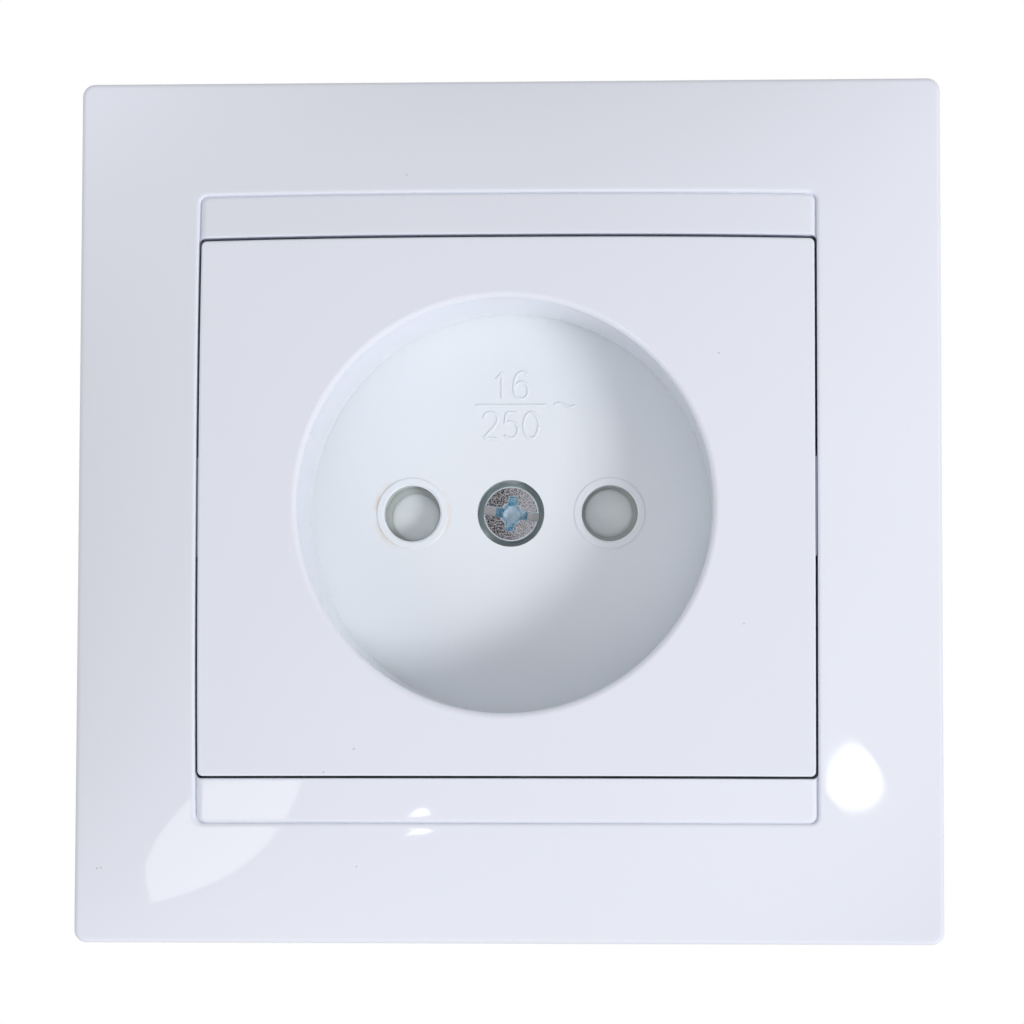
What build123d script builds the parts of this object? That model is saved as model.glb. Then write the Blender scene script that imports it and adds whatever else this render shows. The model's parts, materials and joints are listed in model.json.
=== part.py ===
from build123d import *
import os
from math import atan, cos, degrees, radians, sin, sqrt

# Flush wall socket, two pins, no earth. Millimetres.
# X is to the right, Z is up and the front looks along -Y.
# The wall plane is y = 0, and the centre screw lies on the Y axis.

# Pins
pin_spacing = 19.0
pin_hole_d = 5.4

# Cover frame
frame_side = 82.2
frame_corner_r = 1.2
frame_edge_height = 6.8
frame_wall = 1.8
frame_edge_fillet = 0.4
frame_lip_fillet = 0.2
front_rise = 6.7
front_power = 2.5
strip_height = 4.2
strip_drop = 0.12
groove_width = 0.8
groove_depth = 0.34
pocket_corner_r = 0.9
ledge_reach = 2.2
ledge_thickness = 1.6
ledge_inner_z = 7.0
ledge_outer_z = 20.0
frame_rib_thickness = 1.0
frame_rib_pitch = 18.0
frame_rib_back_height = 3.4

# Centre plate
plate_width = 58.2
plate_height = 50.8
plate_corner_r = 0.5
plate_gap = 0.22
plate_wall = 1.8
plate_edge_fillet = 0.25
plate_seat_height = 3.0
recess_mouth_r = 19.6
recess_taper = 0.4
recess_rim_fillet = 0.5
recess_floor_y = -1.5
recess_wall = 1.5
floor_thickness = 2.0
collar_d = 7.0
collar_height = 0.16
collar_chamfer = 0.18
snap_lug_width = 9.4
snap_lug_depth = 2.0
snap_lug_below_face = 0.8
snap_lug_gap = 0.05
plate_rib_thickness = 1.2
plate_rib_back_height = 5.0

# Centre screw, its boss and its brass insert
screw_head_d = 5.45
screw_head_height = 1.6
screw_head_below_floor = 0.5
screw_head_fillet = 0.25
screw_thread_d = 3.0
screw_length = 16.0
screw_hole_clearance = 0.15
head_well_d = 6.45
boss_r = 4.4
boss_length = 2.0
boss_seat_r = 4.0
insert_r = 2.6
insert_length = 10.0
insert_depth = 1.0
insert_groove_width = 0.6
insert_groove_depth = 0.3
insert_groove_spacing = 3.4
drive_turn = -8.0
slot_width = 0.86
slot_top_width = 1.4
slot_depth = 0.9
slot_flare_depth = 0.3
cross_width = 0.95
cross_reach = 1.75
cross_depth = 1.3

# Shutter and its spring
shutter_thickness = 1.6
shutter_gap = 0.3
shutter_hub_wall = 1.8
blade_r = 3.25
blade_pitch_r = 9.3
blade_arm_width = 5.0
blade_rest_angle = 1.3
dimple_r = 2.2
dimple_depth = 0.35
shutter_travel = 40.0
shutter_pocket_r = 13.5
stop_clearance = 2.0
stop_hub_gap = 1.2
spring_wire_r = 0.2
spring_coil_r = 5.45
spring_turns = 3
spring_pitch = 0.46
spring_groove_depth = 1.7
spring_play = 0.2
spring_leg_reach = 1.9
spring_leg_angle = 90.0
spring_hole_inset = 0.4

# Support ring
ring_side_gap = 3.8
ring_thickness = 1.0
ring_corner_cut = 9.0
ring_opening_gap = 0.9
ring_flange_inset = 4.5
ring_flange_height = 1.8
box_screw_spacing = 60.0
box_slot_length = 7.2
box_slot_width = 4.2
rivet_x = 12.0
rivet_opening_gap = 1.0
rivet_shank_r = 1.1
rivet_head_r = 1.8
rivet_head_height = 0.8
rivet_rounding = 0.55
rivet_length = 6.0

# Insulating base and rear cover
base_width = 39.0
base_height = 54.0
base_depth = 24.0
base_corner_r = 10.0
base_recess = 0.8
pin_passage_clearance = 0.2
core_wall = 2.0
core_inner_x = 3.6
core_low_z = 9.4
core_top_z = 21.5
core_floor_y = 6.5
cover_thickness = 1.6
cover_edge_fillet = 0.4
cover_lower_z = -9.0
cover_rib_thickness = 1.2
cover_rib_inset = 0.2
cover_screw_top_z = 20.5
cover_screw_low_z = -5.6
cover_screw_r = 1.45
cover_screw_hole_clearance = 0.1
cover_screw_head_r = 2.4
cover_screw_head_height = 1.5
cover_screw_rounding = 0.75
cover_screw_length = 7.0
cover_screw_slot_width = 0.8
cover_screw_slot_depth = 0.7

# Contacts
sleeve_bore_r = 2.25
sheet_thickness = 0.8
sleeve_front_y = 5.2
sleeve_slit = 0.9
sleeve_slit_end = 2.0
sleeve_flare = 0.5
sleeve_flare_depth = 0.8
strip_y = 15.6
strip_width = 7.6
strip_top_z = 6.5
strip_low_z = -18.6
chamber_r = 4.4
chamber_front_gap = 0.5
well_side_gap = 0.4
well_low_z = -22.5
clip_thickness = 0.5
clip_start_y = 7.0
clip_length = 5.0
clip_opening = 2.0
clip_gap = 0.05

# Terminals
terminal_z = -13.5
terminal_thread_r = 1.75
terminal_thread_clearance = 0.1
terminal_length = 8.4
terminal_tip_room = 1.0
terminal_side_room = 0.5
terminal_head_r = 3.1
terminal_head_height = 2.6
terminal_rounding = 0.4
terminal_slot_width = 0.9
terminal_slot_depth = 1.2
terminal_cross_reach = 1.85
clamp_opening = 1.8
clamp_thickness = 1.2
clamp_side = 7.2
clamp_lip_width = 1.0
clamp_lip_drop = 1.1
clamp_lip_length = 2.4
wire_entry_r = 1.45
wire_entry_offset = 2.75

# Claws
claw_thickness = 1.2
claw_width = 9.0
claw_pivot_r = 0.9
claw_pivot_y = 3.4
claw_pivot_out = 0.8
claw_arm_out = 3.7
claw_slot_inward = 1.7
claw_slot_outward = 2.1
claw_slot_width = 3.4
claw_bend_r = 0.9
tooth_height = 1.1
tooth_pitch = 1.8
tooth_length = 1.6
tooth_count = 3
claw_screw_out = 3.8
claw_screw_r = 1.5
claw_screw_length = 18.0
claw_screw_hole_clearance = 0.2
claw_hole_web = 0.8
claw_head_r = 2.5
claw_head_height = 1.8
claw_head_rounding = 0.7
claw_drive_width = 0.8
claw_drive_depth = 0.9
claw_cross_reach = 1.6
claw_seat_length = 3.6
claw_side_clearance = 0.2

# Shared clearances, and how far cuts and joined shapes run on
shank_clearance = 0.05
bearing_clearance = 0.08
over = 1.0
join = 0.2

# Places that follow from the sizes
half_frame = frame_side / 2
half_window_x = plate_width / 2 + plate_gap
half_window_z = plate_height / 2 + plate_gap
half_pocket_z = half_window_z + strip_height
front_apex = -(frame_edge_height + front_rise)
front_limit = front_apex - over
floor_back_y = recess_floor_y + floor_thickness
boss_back_y = floor_back_y + boss_length
head_top_y = recess_floor_y + screw_head_below_floor
head_seat_y = head_top_y + screw_head_height
insert_front_y = boss_back_y + insert_depth
shutter_front_y = floor_back_y + shutter_gap
shutter_back_y = shutter_front_y + shutter_thickness
pocket_floor_y = shutter_back_y + shutter_gap
half_pin = pin_spacing / 2
recess_floor_r = recess_mouth_r - recess_taper
ring_side = frame_side - 2 * (frame_wall + ring_side_gap)
ring_flange_length = ring_side - 2 * (ring_corner_cut + ring_flange_inset)
ring_opening_r = recess_floor_r + recess_wall + ring_opening_gap
rivet_reach = ring_opening_r + rivet_opening_gap + rivet_head_r
rivet_z = sqrt(rivet_reach**2 - rivet_x**2)
hub_bore_r = boss_r + bearing_clearance
hub_r = hub_bore_r + shutter_hub_wall
strip_back_y = strip_y + sheet_thickness
clamp_front_y = strip_back_y + clamp_opening
clamp_back_y = clamp_front_y + clamp_thickness
cover_back_y = base_depth + cover_thickness
claw_pivot_x = base_width / 2 + claw_pivot_out
claw_rear_y = base_depth
claw_hole_r = claw_screw_r + claw_screw_hole_clearance
claw_screw_x = max(claw_pivot_x + claw_screw_out, ring_opening_r + claw_hole_web + claw_hole_r)
cover_screw_places = (cover_screw_top_z, cover_screw_low_z)
sides = {"left": -1, "right": 1}


def block(x0, x1, y0, y1, z0, z1):
    """A box between two corners."""
    middle = Pos((x0 + x1) / 2, (y0 + y1) / 2, (z0 + z1) / 2)
    return middle * Box(abs(x1 - x0), abs(y1 - y0), abs(z1 - z0))


def post(radius, y0, y1, x=0.0, z=0.0):
    """A round bar along Y."""
    return Pos(x, (y0 + y1) / 2, z) * Rot(90, 0, 0) * Cylinder(radius, abs(y1 - y0))


def taper(front_r, back_r, y0, y1, x=0.0, z=0.0):
    """A round bar along Y whose radius runs from front_r at y0 to back_r at y1."""
    return Pos(x, (y0 + y1) / 2, z) * Rot(90, 0, 0) * Cone(back_r, front_r, abs(y1 - y0))


def slab(outline, y0, y1):
    """A flat outline, drawn with its own Y upwards, carried along Y from y0 to y1."""
    return Pos(0, y1, 0) * Rot(90, 0, 0) * extrude(outline, y1 - y0)


def turned(part, angle):
    """A copy turned about the Y axis, anticlockwise as seen from the front."""
    return Rot(0, -angle, 0) * part


def screw(head_r, head_height, rounding, shank_r, length, slot_width, slot_depth, cross_reach=0.0):
    """A slotted screw along Y that faces the front, with its head seat at y = 0."""
    head = post(head_r, -head_height, 0)
    rim = head.edges().filter_by(GeomType.CIRCLE).sort_by(Axis.Y)[0]
    head = fillet(rim, rounding)
    drive_y = -head_height + slot_depth
    half = slot_width / 2
    head -= block(-head_r, head_r, -head_height - over, drive_y, -half, half)
    if cross_reach > 0:
        head -= block(-half, half, -head_height - over, drive_y, -cross_reach, cross_reach)
    return head + post(shank_r, 0, length)


def front_height(x, z):
    """Height of the pillow-shaped front above the wall."""
    across = 1 - abs(x / half_frame) ** front_power
    upright = 1 - abs(z / half_frame) ** front_power
    return frame_edge_height + front_rise * across * upright


def behind_front(drop):
    """All the space behind the pillow surface, with the surface set back by drop."""
    steps = 24
    half = half_frame + over
    places = [half * (2 * i / steps - 1) for i in range(steps + 1)]
    rows = [[Vector(x, drop - front_height(x, z), z) for z in places] for x in places]
    skin = Face.make_surface_from_array_of_points(rows, tol=0.002)
    return extrude(skin, amount=frame_side, dir=(0, 1, 0))


def front_edges(part):
    """The edges that don't reach the back of a solid: the outline of its front."""
    back = part.bounding_box().max.Y
    return ShapeList([edge for edge in part.edges() if edge.bounding_box().max.Y < back - join])


def make_frame():
    """Hollow pillow-shaped frame with a grooved pocket, two strips and seats for the plate."""
    shell = slab(RectangleRounded(frame_side, frame_side, frame_corner_r), front_limit, 0) & behind_front(0)
    shell = fillet(front_edges(shell), frame_edge_fillet)
    inner = frame_side - 2 * frame_wall
    hollow = behind_front(frame_wall)
    shell -= slab(Rectangle(inner, inner), front_limit, over) & hollow

    under_skin = behind_front(frame_wall / 2)
    walls = slab(Rectangle(2 * (half_window_x + frame_wall), 2 * half_pocket_z), front_limit, -plate_seat_height)
    walls = walls & under_skin
    walls -= slab(Rectangle(2 * half_window_x, 2 * half_window_z), front_limit, 0)
    for side in (-1, 1):
        inner_z = side * (half_window_z + frame_wall)
        outer_z = side * (half_pocket_z + over)
        gap = block(-half_window_x - join, half_window_x + join, front_limit, 0, inner_z, outer_z)
        walls -= gap & hollow
    frame = shell + walls

    outer = half_frame - frame_wall / 2
    for side in (-1, 1):
        for step in (-1, 0, 1):
            near = step * frame_rib_pitch - frame_rib_thickness / 2
            beyond = near + frame_rib_thickness
            beside = side * (half_window_x + frame_wall / 2)
            above = side * (half_window_z + frame_wall / 2)
            upright = block(beside, side * outer, front_limit, -frame_rib_back_height, near, beyond)
            level = block(near, beyond, front_limit, -frame_rib_back_height, above, side * outer)
            frame += upright & under_skin
            frame += level & under_skin

    pocket = slab(RectangleRounded(2 * half_window_x, 2 * half_pocket_z, pocket_corner_r), front_limit, 0)
    island_x = 2 * (half_window_x - groove_width)
    island_z = 2 * (half_pocket_z - groove_width)
    island = slab(RectangleRounded(island_x, island_z, pocket_corner_r), front_limit, 0)
    frame -= pocket - behind_front(strip_drop)
    frame -= (pocket - island) - behind_front(groove_depth)
    window = RectangleRounded(2 * half_window_x, 2 * half_window_z, plate_corner_r + plate_gap)
    frame -= slab(window, front_limit, over)
    for side in (-1, 1):
        for level in (-1, 1):
            frame += block(
                side * (half_window_x - ledge_reach),
                side * (half_window_x + frame_wall / 2),
                -plate_seat_height,
                -plate_seat_height + ledge_thickness,
                level * ledge_inner_z,
                level * ledge_outer_z,
            )
    return fillet(pocket_lip(frame), min(frame_lip_fillet, 0.8 * groove_depth))


def pocket_lip(frame):
    """The edges where the frame's front turns down into the pocket."""
    lip = []
    for edge in frame.edges():
        middle = edge @ 0.5
        on_side = abs(abs(middle.X) - half_window_x) < pocket_corner_r / 2 and abs(middle.Z) < half_pocket_z
        on_top = abs(abs(middle.Z) - half_pocket_z) < pocket_corner_r / 2 and abs(middle.X) < half_window_x
        on_front = abs(middle.Y + front_height(middle.X, middle.Z)) < strip_drop / 2
        if on_front and (on_side or on_top):
            lip.append(edge)
    return ShapeList(lip)


def make_plate():
    """Crowned plate with a drafted plug recess, pin holes, screw boss, skirt, lugs and ribs."""
    outline = RectangleRounded(plate_width, plate_height, plate_corner_r)
    shell = slab(outline, front_limit, -plate_seat_height) & behind_front(0)
    shell = fillet(front_edges(shell), plate_edge_fillet)
    inside = Rectangle(plate_width - 2 * plate_wall, plate_height - 2 * plate_wall)
    shell -= slab(inside, front_limit, 0) & behind_front(plate_wall)

    under_skin = behind_front(plate_wall / 2)
    outer_mouth = recess_mouth_r + recess_wall
    outer_floor = recess_floor_r + recess_wall
    plate = shell + (taper(outer_mouth, outer_floor, front_apex, floor_back_y) & under_skin)
    corner_reach = (plate_height - plate_wall) / 2 / sin(radians(45))
    for angle in (45, 135, 225, 315):
        half = plate_rib_thickness / 2
        rib = block(recess_mouth_r, corner_reach, front_limit, -plate_rib_back_height, -half, half)
        plate += turned(rib, angle) & under_skin
    lug_front = snap_lug_below_face - front_height(half_window_x, 0)
    for side in (-1, 1):
        plate += block(
            side * (plate_width - plate_wall) / 2,
            side * (half_window_x - snap_lug_gap),
            lug_front,
            lug_front + snap_lug_depth,
            -snap_lug_width / 2,
            snap_lug_width / 2,
        )

    draft = (recess_mouth_r - recess_floor_r) / (recess_floor_y - front_apex)
    limit_r = recess_floor_r + draft * (recess_floor_y - front_limit)
    plate -= taper(limit_r, recess_floor_r, front_limit, recess_floor_y)
    rim = []
    for edge in plate.edges():
        if abs(edge.bounding_box().size.X - 2 * recess_mouth_r) < recess_taper:
            rim.append(edge)
    plate = fillet(ShapeList(rim), recess_rim_fillet)

    collar_y = recess_floor_y - collar_height
    for side in (-1, 1):
        plate += taper(collar_d / 2 - collar_height, collar_d / 2, collar_y, recess_floor_y, side * half_pin)
    plate += post(boss_r, recess_floor_y, boss_back_y)
    hole_r = pin_hole_d / 2
    for side in (-1, 1):
        plate -= post(hole_r, collar_y - over, floor_back_y + over, side * half_pin)
        plate -= taper(hole_r + collar_chamfer, hole_r, collar_y, collar_y + collar_chamfer, side * half_pin)
    plate -= post(head_well_d / 2, recess_floor_y - over, head_seat_y)
    plate -= post(screw_thread_d / 2 + screw_hole_clearance, head_seat_y - over, boss_back_y + over)
    return plate


def make_centre_screw():
    """Machine screw with a slightly rounded head and a combined slot and cross recess."""
    head = post(screw_head_d / 2, head_top_y, head_seat_y)
    rim = head.edges().filter_by(GeomType.CIRCLE).sort_by(Axis.Y)[0]
    head = fillet(rim, screw_head_fillet)
    front = head_top_y - over
    flare_y = head_top_y + slot_flare_depth
    cross_y = head_top_y + cross_depth
    drive = block(-screw_head_d, screw_head_d, front, head_top_y + slot_depth, -slot_width / 2, slot_width / 2)
    drive += block(-cross_reach, cross_reach, front, flare_y, -slot_top_width / 2, slot_top_width / 2)
    drive += block(-cross_width / 2, cross_width / 2, front, cross_y, -cross_reach, cross_reach)
    drive += taper(cross_width, cross_width / 2, head_top_y, cross_y)
    head -= turned(drive, drive_turn)
    return head + post(screw_thread_d / 2, head_seat_y, head_seat_y + screw_length)


def make_shutter():
    """Rotary shutter: a hub with two round dimpled blades that cover the pin holes."""
    disc = post(hub_r, shutter_front_y, shutter_back_y)
    half_arm = blade_arm_width / 2
    for side in (-1, 1):
        place = side * blade_pitch_r
        disc += block(0, place, shutter_front_y, shutter_back_y, -half_arm, half_arm)
        disc += post(blade_r, shutter_front_y, shutter_back_y, place)
    dimple_y = shutter_front_y + dimple_depth
    for side in (-1, 1):
        disc -= taper(dimple_r, dimple_r - dimple_depth, shutter_front_y, dimple_y, side * blade_pitch_r)
    disc -= post(hub_bore_r, shutter_front_y - over, shutter_back_y + over)
    disc = turned(disc, blade_rest_angle)
    hole_r = spring_wire_r + shank_clearance
    hole = post(hole_r, shutter_front_y + spring_hole_inset, shutter_back_y + over, spring_coil_r)
    return disc - turned(hole, spring_leg_angle)


def make_spring():
    """Torsion spring: open turns of wire, one leg along Y into the hub and one outwards into the base."""
    coil_back_y = pocket_floor_y + spring_groove_depth - spring_wire_r - shank_clearance
    coil_front_y = coil_back_y - spring_turns * spring_pitch
    path = Helix(spring_pitch, spring_turns * spring_pitch, spring_coil_r)
    section = Plane(origin=path @ 0, z_dir=path % 0) * Circle(spring_wire_r)
    coil = Pos(0, coil_back_y, 0) * Rot(90, 0, 0) * sweep(section, path, is_frenet=True)
    outward_leg = Rot(0, 90, 0) * Cylinder(spring_wire_r, spring_leg_reach)
    outward_leg = Pos(spring_coil_r + spring_leg_reach / 2, coil_back_y, 0) * outward_leg
    leg_tip_y = shutter_front_y + spring_hole_inset + spring_play
    forward_leg = post(spring_wire_r, leg_tip_y, coil_front_y, spring_coil_r)
    return turned(coil + outward_leg + forward_leg, spring_leg_angle)


def make_ring():
    """Pressed steel ring with turned-up edges, box-screw slots and a central opening."""
    half = ring_side / 2
    ring = slab(chamfer(Rectangle(ring_side, ring_side).vertices(), ring_corner_cut), -ring_thickness, 0)
    flange_y = -ring_thickness - ring_flange_height
    half_flange = ring_flange_length / 2
    for angle in (0, 90, 180, 270):
        flange = block(half - ring_thickness, half, flange_y, -ring_thickness / 2, -half_flange, half_flange)
        ring += turned(flange, angle)
    ring -= through_ring(ring_opening_r, 0, 0)
    for side in (-1, 1):
        slot = Pos(0, side * box_screw_spacing / 2) * SlotOverall(box_slot_length, box_slot_width, rotation=90)
        ring -= slab(slot, -ring_thickness - over, over)
        ring -= through_ring(claw_hole_r, side * claw_screw_x, 0)
        for level in (-1, 1):
            ring -= through_ring(rivet_shank_r, side * rivet_x, level * rivet_z)
    return ring


def through_ring(radius, x, z):
    """A round cutter that goes through the ring."""
    return post(radius, -ring_thickness - over, over, x, z)


def make_rivets():
    """Four drive rivets through the ring into the base."""
    rivets = []
    for side in (-1, 1):
        for level in (-1, 1):
            head = post(rivet_head_r, -ring_thickness - rivet_head_height, -ring_thickness)
            rim = head.edges().filter_by(GeomType.CIRCLE).sort_by(Axis.Y)[0]
            rivet = fillet(rim, rivet_rounding) + post(rivet_shank_r, -ring_thickness, rivet_length)
            rivets.append(Pos(side * rivet_x, 0, level * rivet_z) * rivet)
    return Compound(children=rivets)


def make_base():
    """Insulating base: shutter pocket in front, contact chambers and terminal wells open to the rear."""
    base = slab(RectangleRounded(base_width, base_height, base_corner_r), 0, base_depth)
    base -= post(ring_opening_r, -over, base_recess)
    base -= post(shutter_pocket_r, -over, pocket_floor_y)
    for side in (-1, 1):
        base += stop_block(side)
    base += post(boss_seat_r, boss_back_y, pocket_floor_y + over)
    groove_in = spring_coil_r - spring_wire_r - spring_play
    groove_out = spring_coil_r + spring_wire_r + spring_play
    groove_floor_y = pocket_floor_y + spring_groove_depth
    base -= post(groove_out, boss_back_y, groove_floor_y) - post(groove_in, boss_back_y - over, groove_floor_y)
    half_slot = spring_wire_r + spring_play / 2
    slot_end = spring_coil_r + spring_leg_reach + spring_play
    leg_slot = block(groove_in, slot_end, pocket_floor_y - over, groove_floor_y, -half_slot, half_slot)
    base -= turned(leg_slot, spring_leg_angle)

    chamber_front_y = sleeve_front_y - chamber_front_gap
    half_well = strip_width / 2 + well_side_gap
    tip_y = clamp_back_y - terminal_length - terminal_tip_room
    back = base_depth + over
    for side in (-1, 1):
        x = side * half_pin
        base -= post(pin_hole_d / 2 + pin_passage_clearance, 0, chamber_front_y + over, x)
        base -= post(chamber_r, chamber_front_y, back, x)
        base -= block(x - half_well, x + half_well, strip_y, back, well_low_z, strip_top_z + well_side_gap)
        base -= post(terminal_thread_r + terminal_side_room, tip_y, strip_y + over, x, terminal_z)
        for offset in (-wire_entry_offset, wire_entry_offset):
            base -= wire_entry(x + offset)
        core_outer_x = base_width / 2 - core_wall
        base -= block(side * core_inner_x, side * core_outer_x, core_floor_y, back, core_low_z, core_top_z)
        base += claw_seat(side)
        base -= claw_groove(side)
        for level in (-1, 1):
            base -= post(rivet_shank_r, -over, rivet_length, side * rivet_x, level * rivet_z)
    thread_hole_r = screw_thread_d / 2 + screw_hole_clearance
    base -= post(thread_hole_r, boss_back_y - over, head_seat_y + screw_length + over)
    base -= post(insert_r, insert_front_y, insert_front_y + insert_length)
    for z in cover_screw_places:
        base -= post(cover_screw_r, cover_back_y - cover_screw_length, back, 0, z)
    return base


def wire_entry(x):
    """A round hole for a wire, up through the bottom wall of the base into a terminal well."""
    bottom_z = -base_height / 2 - over
    wire_y = strip_back_y + clamp_opening / 2
    middle_z = (bottom_z + well_low_z + over) / 2
    return Pos(x, wire_y, middle_z) * Cylinder(wire_entry_r, well_low_z + over - bottom_z)


def stop_block(side):
    """A sector in the shutter pocket that a blade meets at either end of its turn."""
    half_blade = degrees(atan(blade_r / blade_pitch_r)) + stop_clearance
    first = blade_rest_angle + half_blade
    last = blade_rest_angle - shutter_travel - half_blade + 180
    outer = shutter_pocket_r + join
    inner = hub_r + stop_hub_gap
    ring = post(outer, shutter_front_y, pocket_floor_y + join)
    ring -= post(inner, shutter_front_y - over, pocket_floor_y + over)
    reach = 2 * outer
    middle = radians(last - first) / 2
    wedge = Polyline(
        (0, 0),
        (reach, 0),
        (reach * cos(middle), reach * sin(middle)),
        (reach * cos(2 * middle), reach * sin(2 * middle)),
        close=True,
    )
    sector = slab(make_face(wedge), shutter_front_y - over, pocket_floor_y + over)
    turn = first if side > 0 else first + 180
    return ring & turned(sector, turn)


def claw_seat(side):
    """A rib on the side of the base that carries the claw's rolled edge."""
    half = claw_width / 2 + claw_side_clearance
    front = claw_pivot_y - claw_seat_length / 2
    return block(
        side * (base_width / 2 - over), side * claw_pivot_x, front, front + claw_seat_length, -half, half
    )


def claw_groove(side):
    """The half-round seat that the claw's rolled edge turns in."""
    length = claw_width + 2 * claw_side_clearance
    return Pos(side * claw_pivot_x, claw_pivot_y, 0) * Cylinder(claw_pivot_r + shank_clearance, length)


def make_insert():
    """Brass insert with two grooves that grip the moulding round it."""
    back = insert_front_y + insert_length
    insert = post(insert_r, insert_front_y, back)
    for side in (-1, 1):
        middle = insert_front_y + insert_length / 2 + side * insert_groove_spacing / 2
        near = middle - insert_groove_width / 2
        beyond = near + insert_groove_width
        groove = post(insert_r + over, near, beyond)
        groove -= post(insert_r - insert_groove_depth, near - over, beyond + over)
        insert -= groove
    return insert - post(screw_thread_d / 2 + shank_clearance, insert_front_y - over, back + over)


def make_cover():
    """Rear cover that closes the contact chambers and leaves the terminal wells open."""
    cover = slab(RectangleRounded(base_width, base_height, base_corner_r), base_depth, cover_back_y)
    cover -= block(-base_width, base_width, 0, cover_back_y + over, -base_height, cover_lower_z)
    edge = cover.edges().filter_by(Axis.Y, reverse=True).group_by(Axis.Y)[-1]
    cover = fillet(edge, cover_edge_fillet)
    rib_front_y = strip_back_y + shank_clearance
    for side in (-1, 1):
        near = side * half_pin - strip_width / 2
        beyond = near + strip_width
        for z in (strip_top_z - cover_rib_thickness - cover_rib_inset, cover_lower_z + cover_rib_inset):
            cover += block(near, beyond, rib_front_y, base_depth + join, z, z + cover_rib_thickness)
    for z in cover_screw_places:
        hole_r = cover_screw_r + cover_screw_hole_clearance
        cover -= post(hole_r, base_depth - over, cover_back_y + over, 0, z)
    return cover


def make_cover_screws():
    """Two self-tapping screws with slotted pan heads that face the rear."""
    shape = screw(
        cover_screw_head_r,
        cover_screw_head_height,
        cover_screw_rounding,
        cover_screw_r,
        cover_screw_length,
        cover_screw_slot_width,
        cover_screw_slot_depth,
    )
    return Compound(children=[Pos(0, cover_back_y, z) * Rot(180, 0, 0) * shape for z in cover_screw_places])


def make_contact(side):
    """Brass contact: a split sleeve on a strip that runs down to the terminal."""
    x = side * half_pin
    half_slit = sleeve_slit / 2
    half_strip = strip_width / 2
    front = sleeve_front_y - over
    sleeve = post(sleeve_bore_r + sheet_thickness, sleeve_front_y, strip_y + join, x)
    sleeve -= block(x - half_slit, x + half_slit, front, strip_y - sleeve_slit_end, -chamber_r, chamber_r)
    contact = sleeve + block(x - half_strip, x + half_strip, strip_y, strip_back_y, strip_low_z, strip_top_z)
    contact -= post(sleeve_bore_r, front, strip_back_y + over, x)
    flare_y = sleeve_front_y + sleeve_flare_depth
    contact -= taper(sleeve_bore_r + sleeve_flare, sleeve_bore_r, sleeve_front_y, flare_y, x)
    thread_r = terminal_thread_r + shank_clearance
    return contact - post(thread_r, strip_y - over, strip_back_y + over, x, terminal_z)


def make_clip(side):
    """Steel clip round the sleeve, open on its outer side."""
    x = side * half_pin
    inner = sleeve_bore_r + sheet_thickness + clip_gap
    front = clip_start_y - over
    back = clip_start_y + clip_length + over
    clip = post(inner + clip_thickness, clip_start_y, clip_start_y + clip_length, x)
    clip -= post(inner, front, back, x)
    return clip - block(x, x + side * 2 * chamber_r, front, back, -clip_opening / 2, clip_opening / 2)


def make_clamp(side):
    """Square clamp plate with two turned-down edges that keep the wires in."""
    x = side * half_pin
    half = clamp_side / 2
    half_lip = clamp_lip_length / 2
    lip_front = clamp_front_y - clamp_lip_drop
    plate = block(x - half, x + half, clamp_front_y, clamp_back_y, terminal_z - half, terminal_z + half)
    for edge in (-1, 1):
        outer = x + edge * half
        inner = outer - edge * clamp_lip_width
        plate += block(inner, outer, lip_front, clamp_back_y, terminal_z - half_lip, terminal_z + half_lip)
    hole_r = terminal_thread_r + terminal_thread_clearance
    return plate - post(hole_r, lip_front - over, clamp_back_y + over, x, terminal_z)


def make_terminal_screw(side):
    """Terminal screw with a cheese head that faces the rear."""
    shape = screw(
        terminal_head_r,
        terminal_head_height,
        terminal_rounding,
        terminal_thread_r,
        terminal_length,
        terminal_slot_width,
        terminal_slot_depth,
        terminal_cross_reach,
    )
    return Pos(side * half_pin, clamp_back_y, terminal_z) * Rot(180, 0, 0) * shape


def make_claw(side):
    """Bent steel claw: a rolled edge to pivot on, a slotted web and a toothed arm along the base."""
    half = claw_width / 2
    web_front = claw_pivot_y - claw_thickness / 2
    web_back = web_front + claw_thickness
    outer_x = claw_screw_x + claw_arm_out
    claw = block(claw_pivot_x, outer_x, web_front, web_back, -half, half)
    claw += block(outer_x - claw_thickness, outer_x, web_front, claw_rear_y, -half, half)
    corner = claw.edges().filter_by(Axis.Z).group_by(Axis.Y)[0].sort_by(Axis.X)[-1]
    claw = fillet(corner, claw_bend_r)
    for tooth in range(tooth_count):
        tip_y = claw_rear_y - tooth * tooth_pitch
        outline = Polyline(
            (outer_x - join, tip_y),
            (outer_x + tooth_height, tip_y),
            (outer_x - join, tip_y - tooth_length),
            close=True,
        )
        claw += Pos(0, 0, -half) * extrude(make_face(outline), claw_width)
    claw += Pos(claw_pivot_x, claw_pivot_y, 0) * Cylinder(claw_pivot_r, claw_width)
    claw -= block(
        claw_screw_x - claw_slot_inward,
        claw_screw_x + claw_slot_outward,
        web_front - over,
        web_back + over,
        -claw_slot_width / 2,
        claw_slot_width / 2,
    )
    return claw if side > 0 else mirror(claw, about=Plane.YZ)


def make_claw_screw(side):
    """Long screw that draws a claw towards the ring."""
    shape = screw(
        claw_head_r,
        claw_head_height,
        claw_head_rounding,
        claw_screw_r,
        claw_screw_length,
        claw_drive_width,
        claw_drive_depth,
        claw_cross_reach,
    )
    return Pos(side * claw_screw_x, -ring_thickness, 0) * shape


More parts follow.
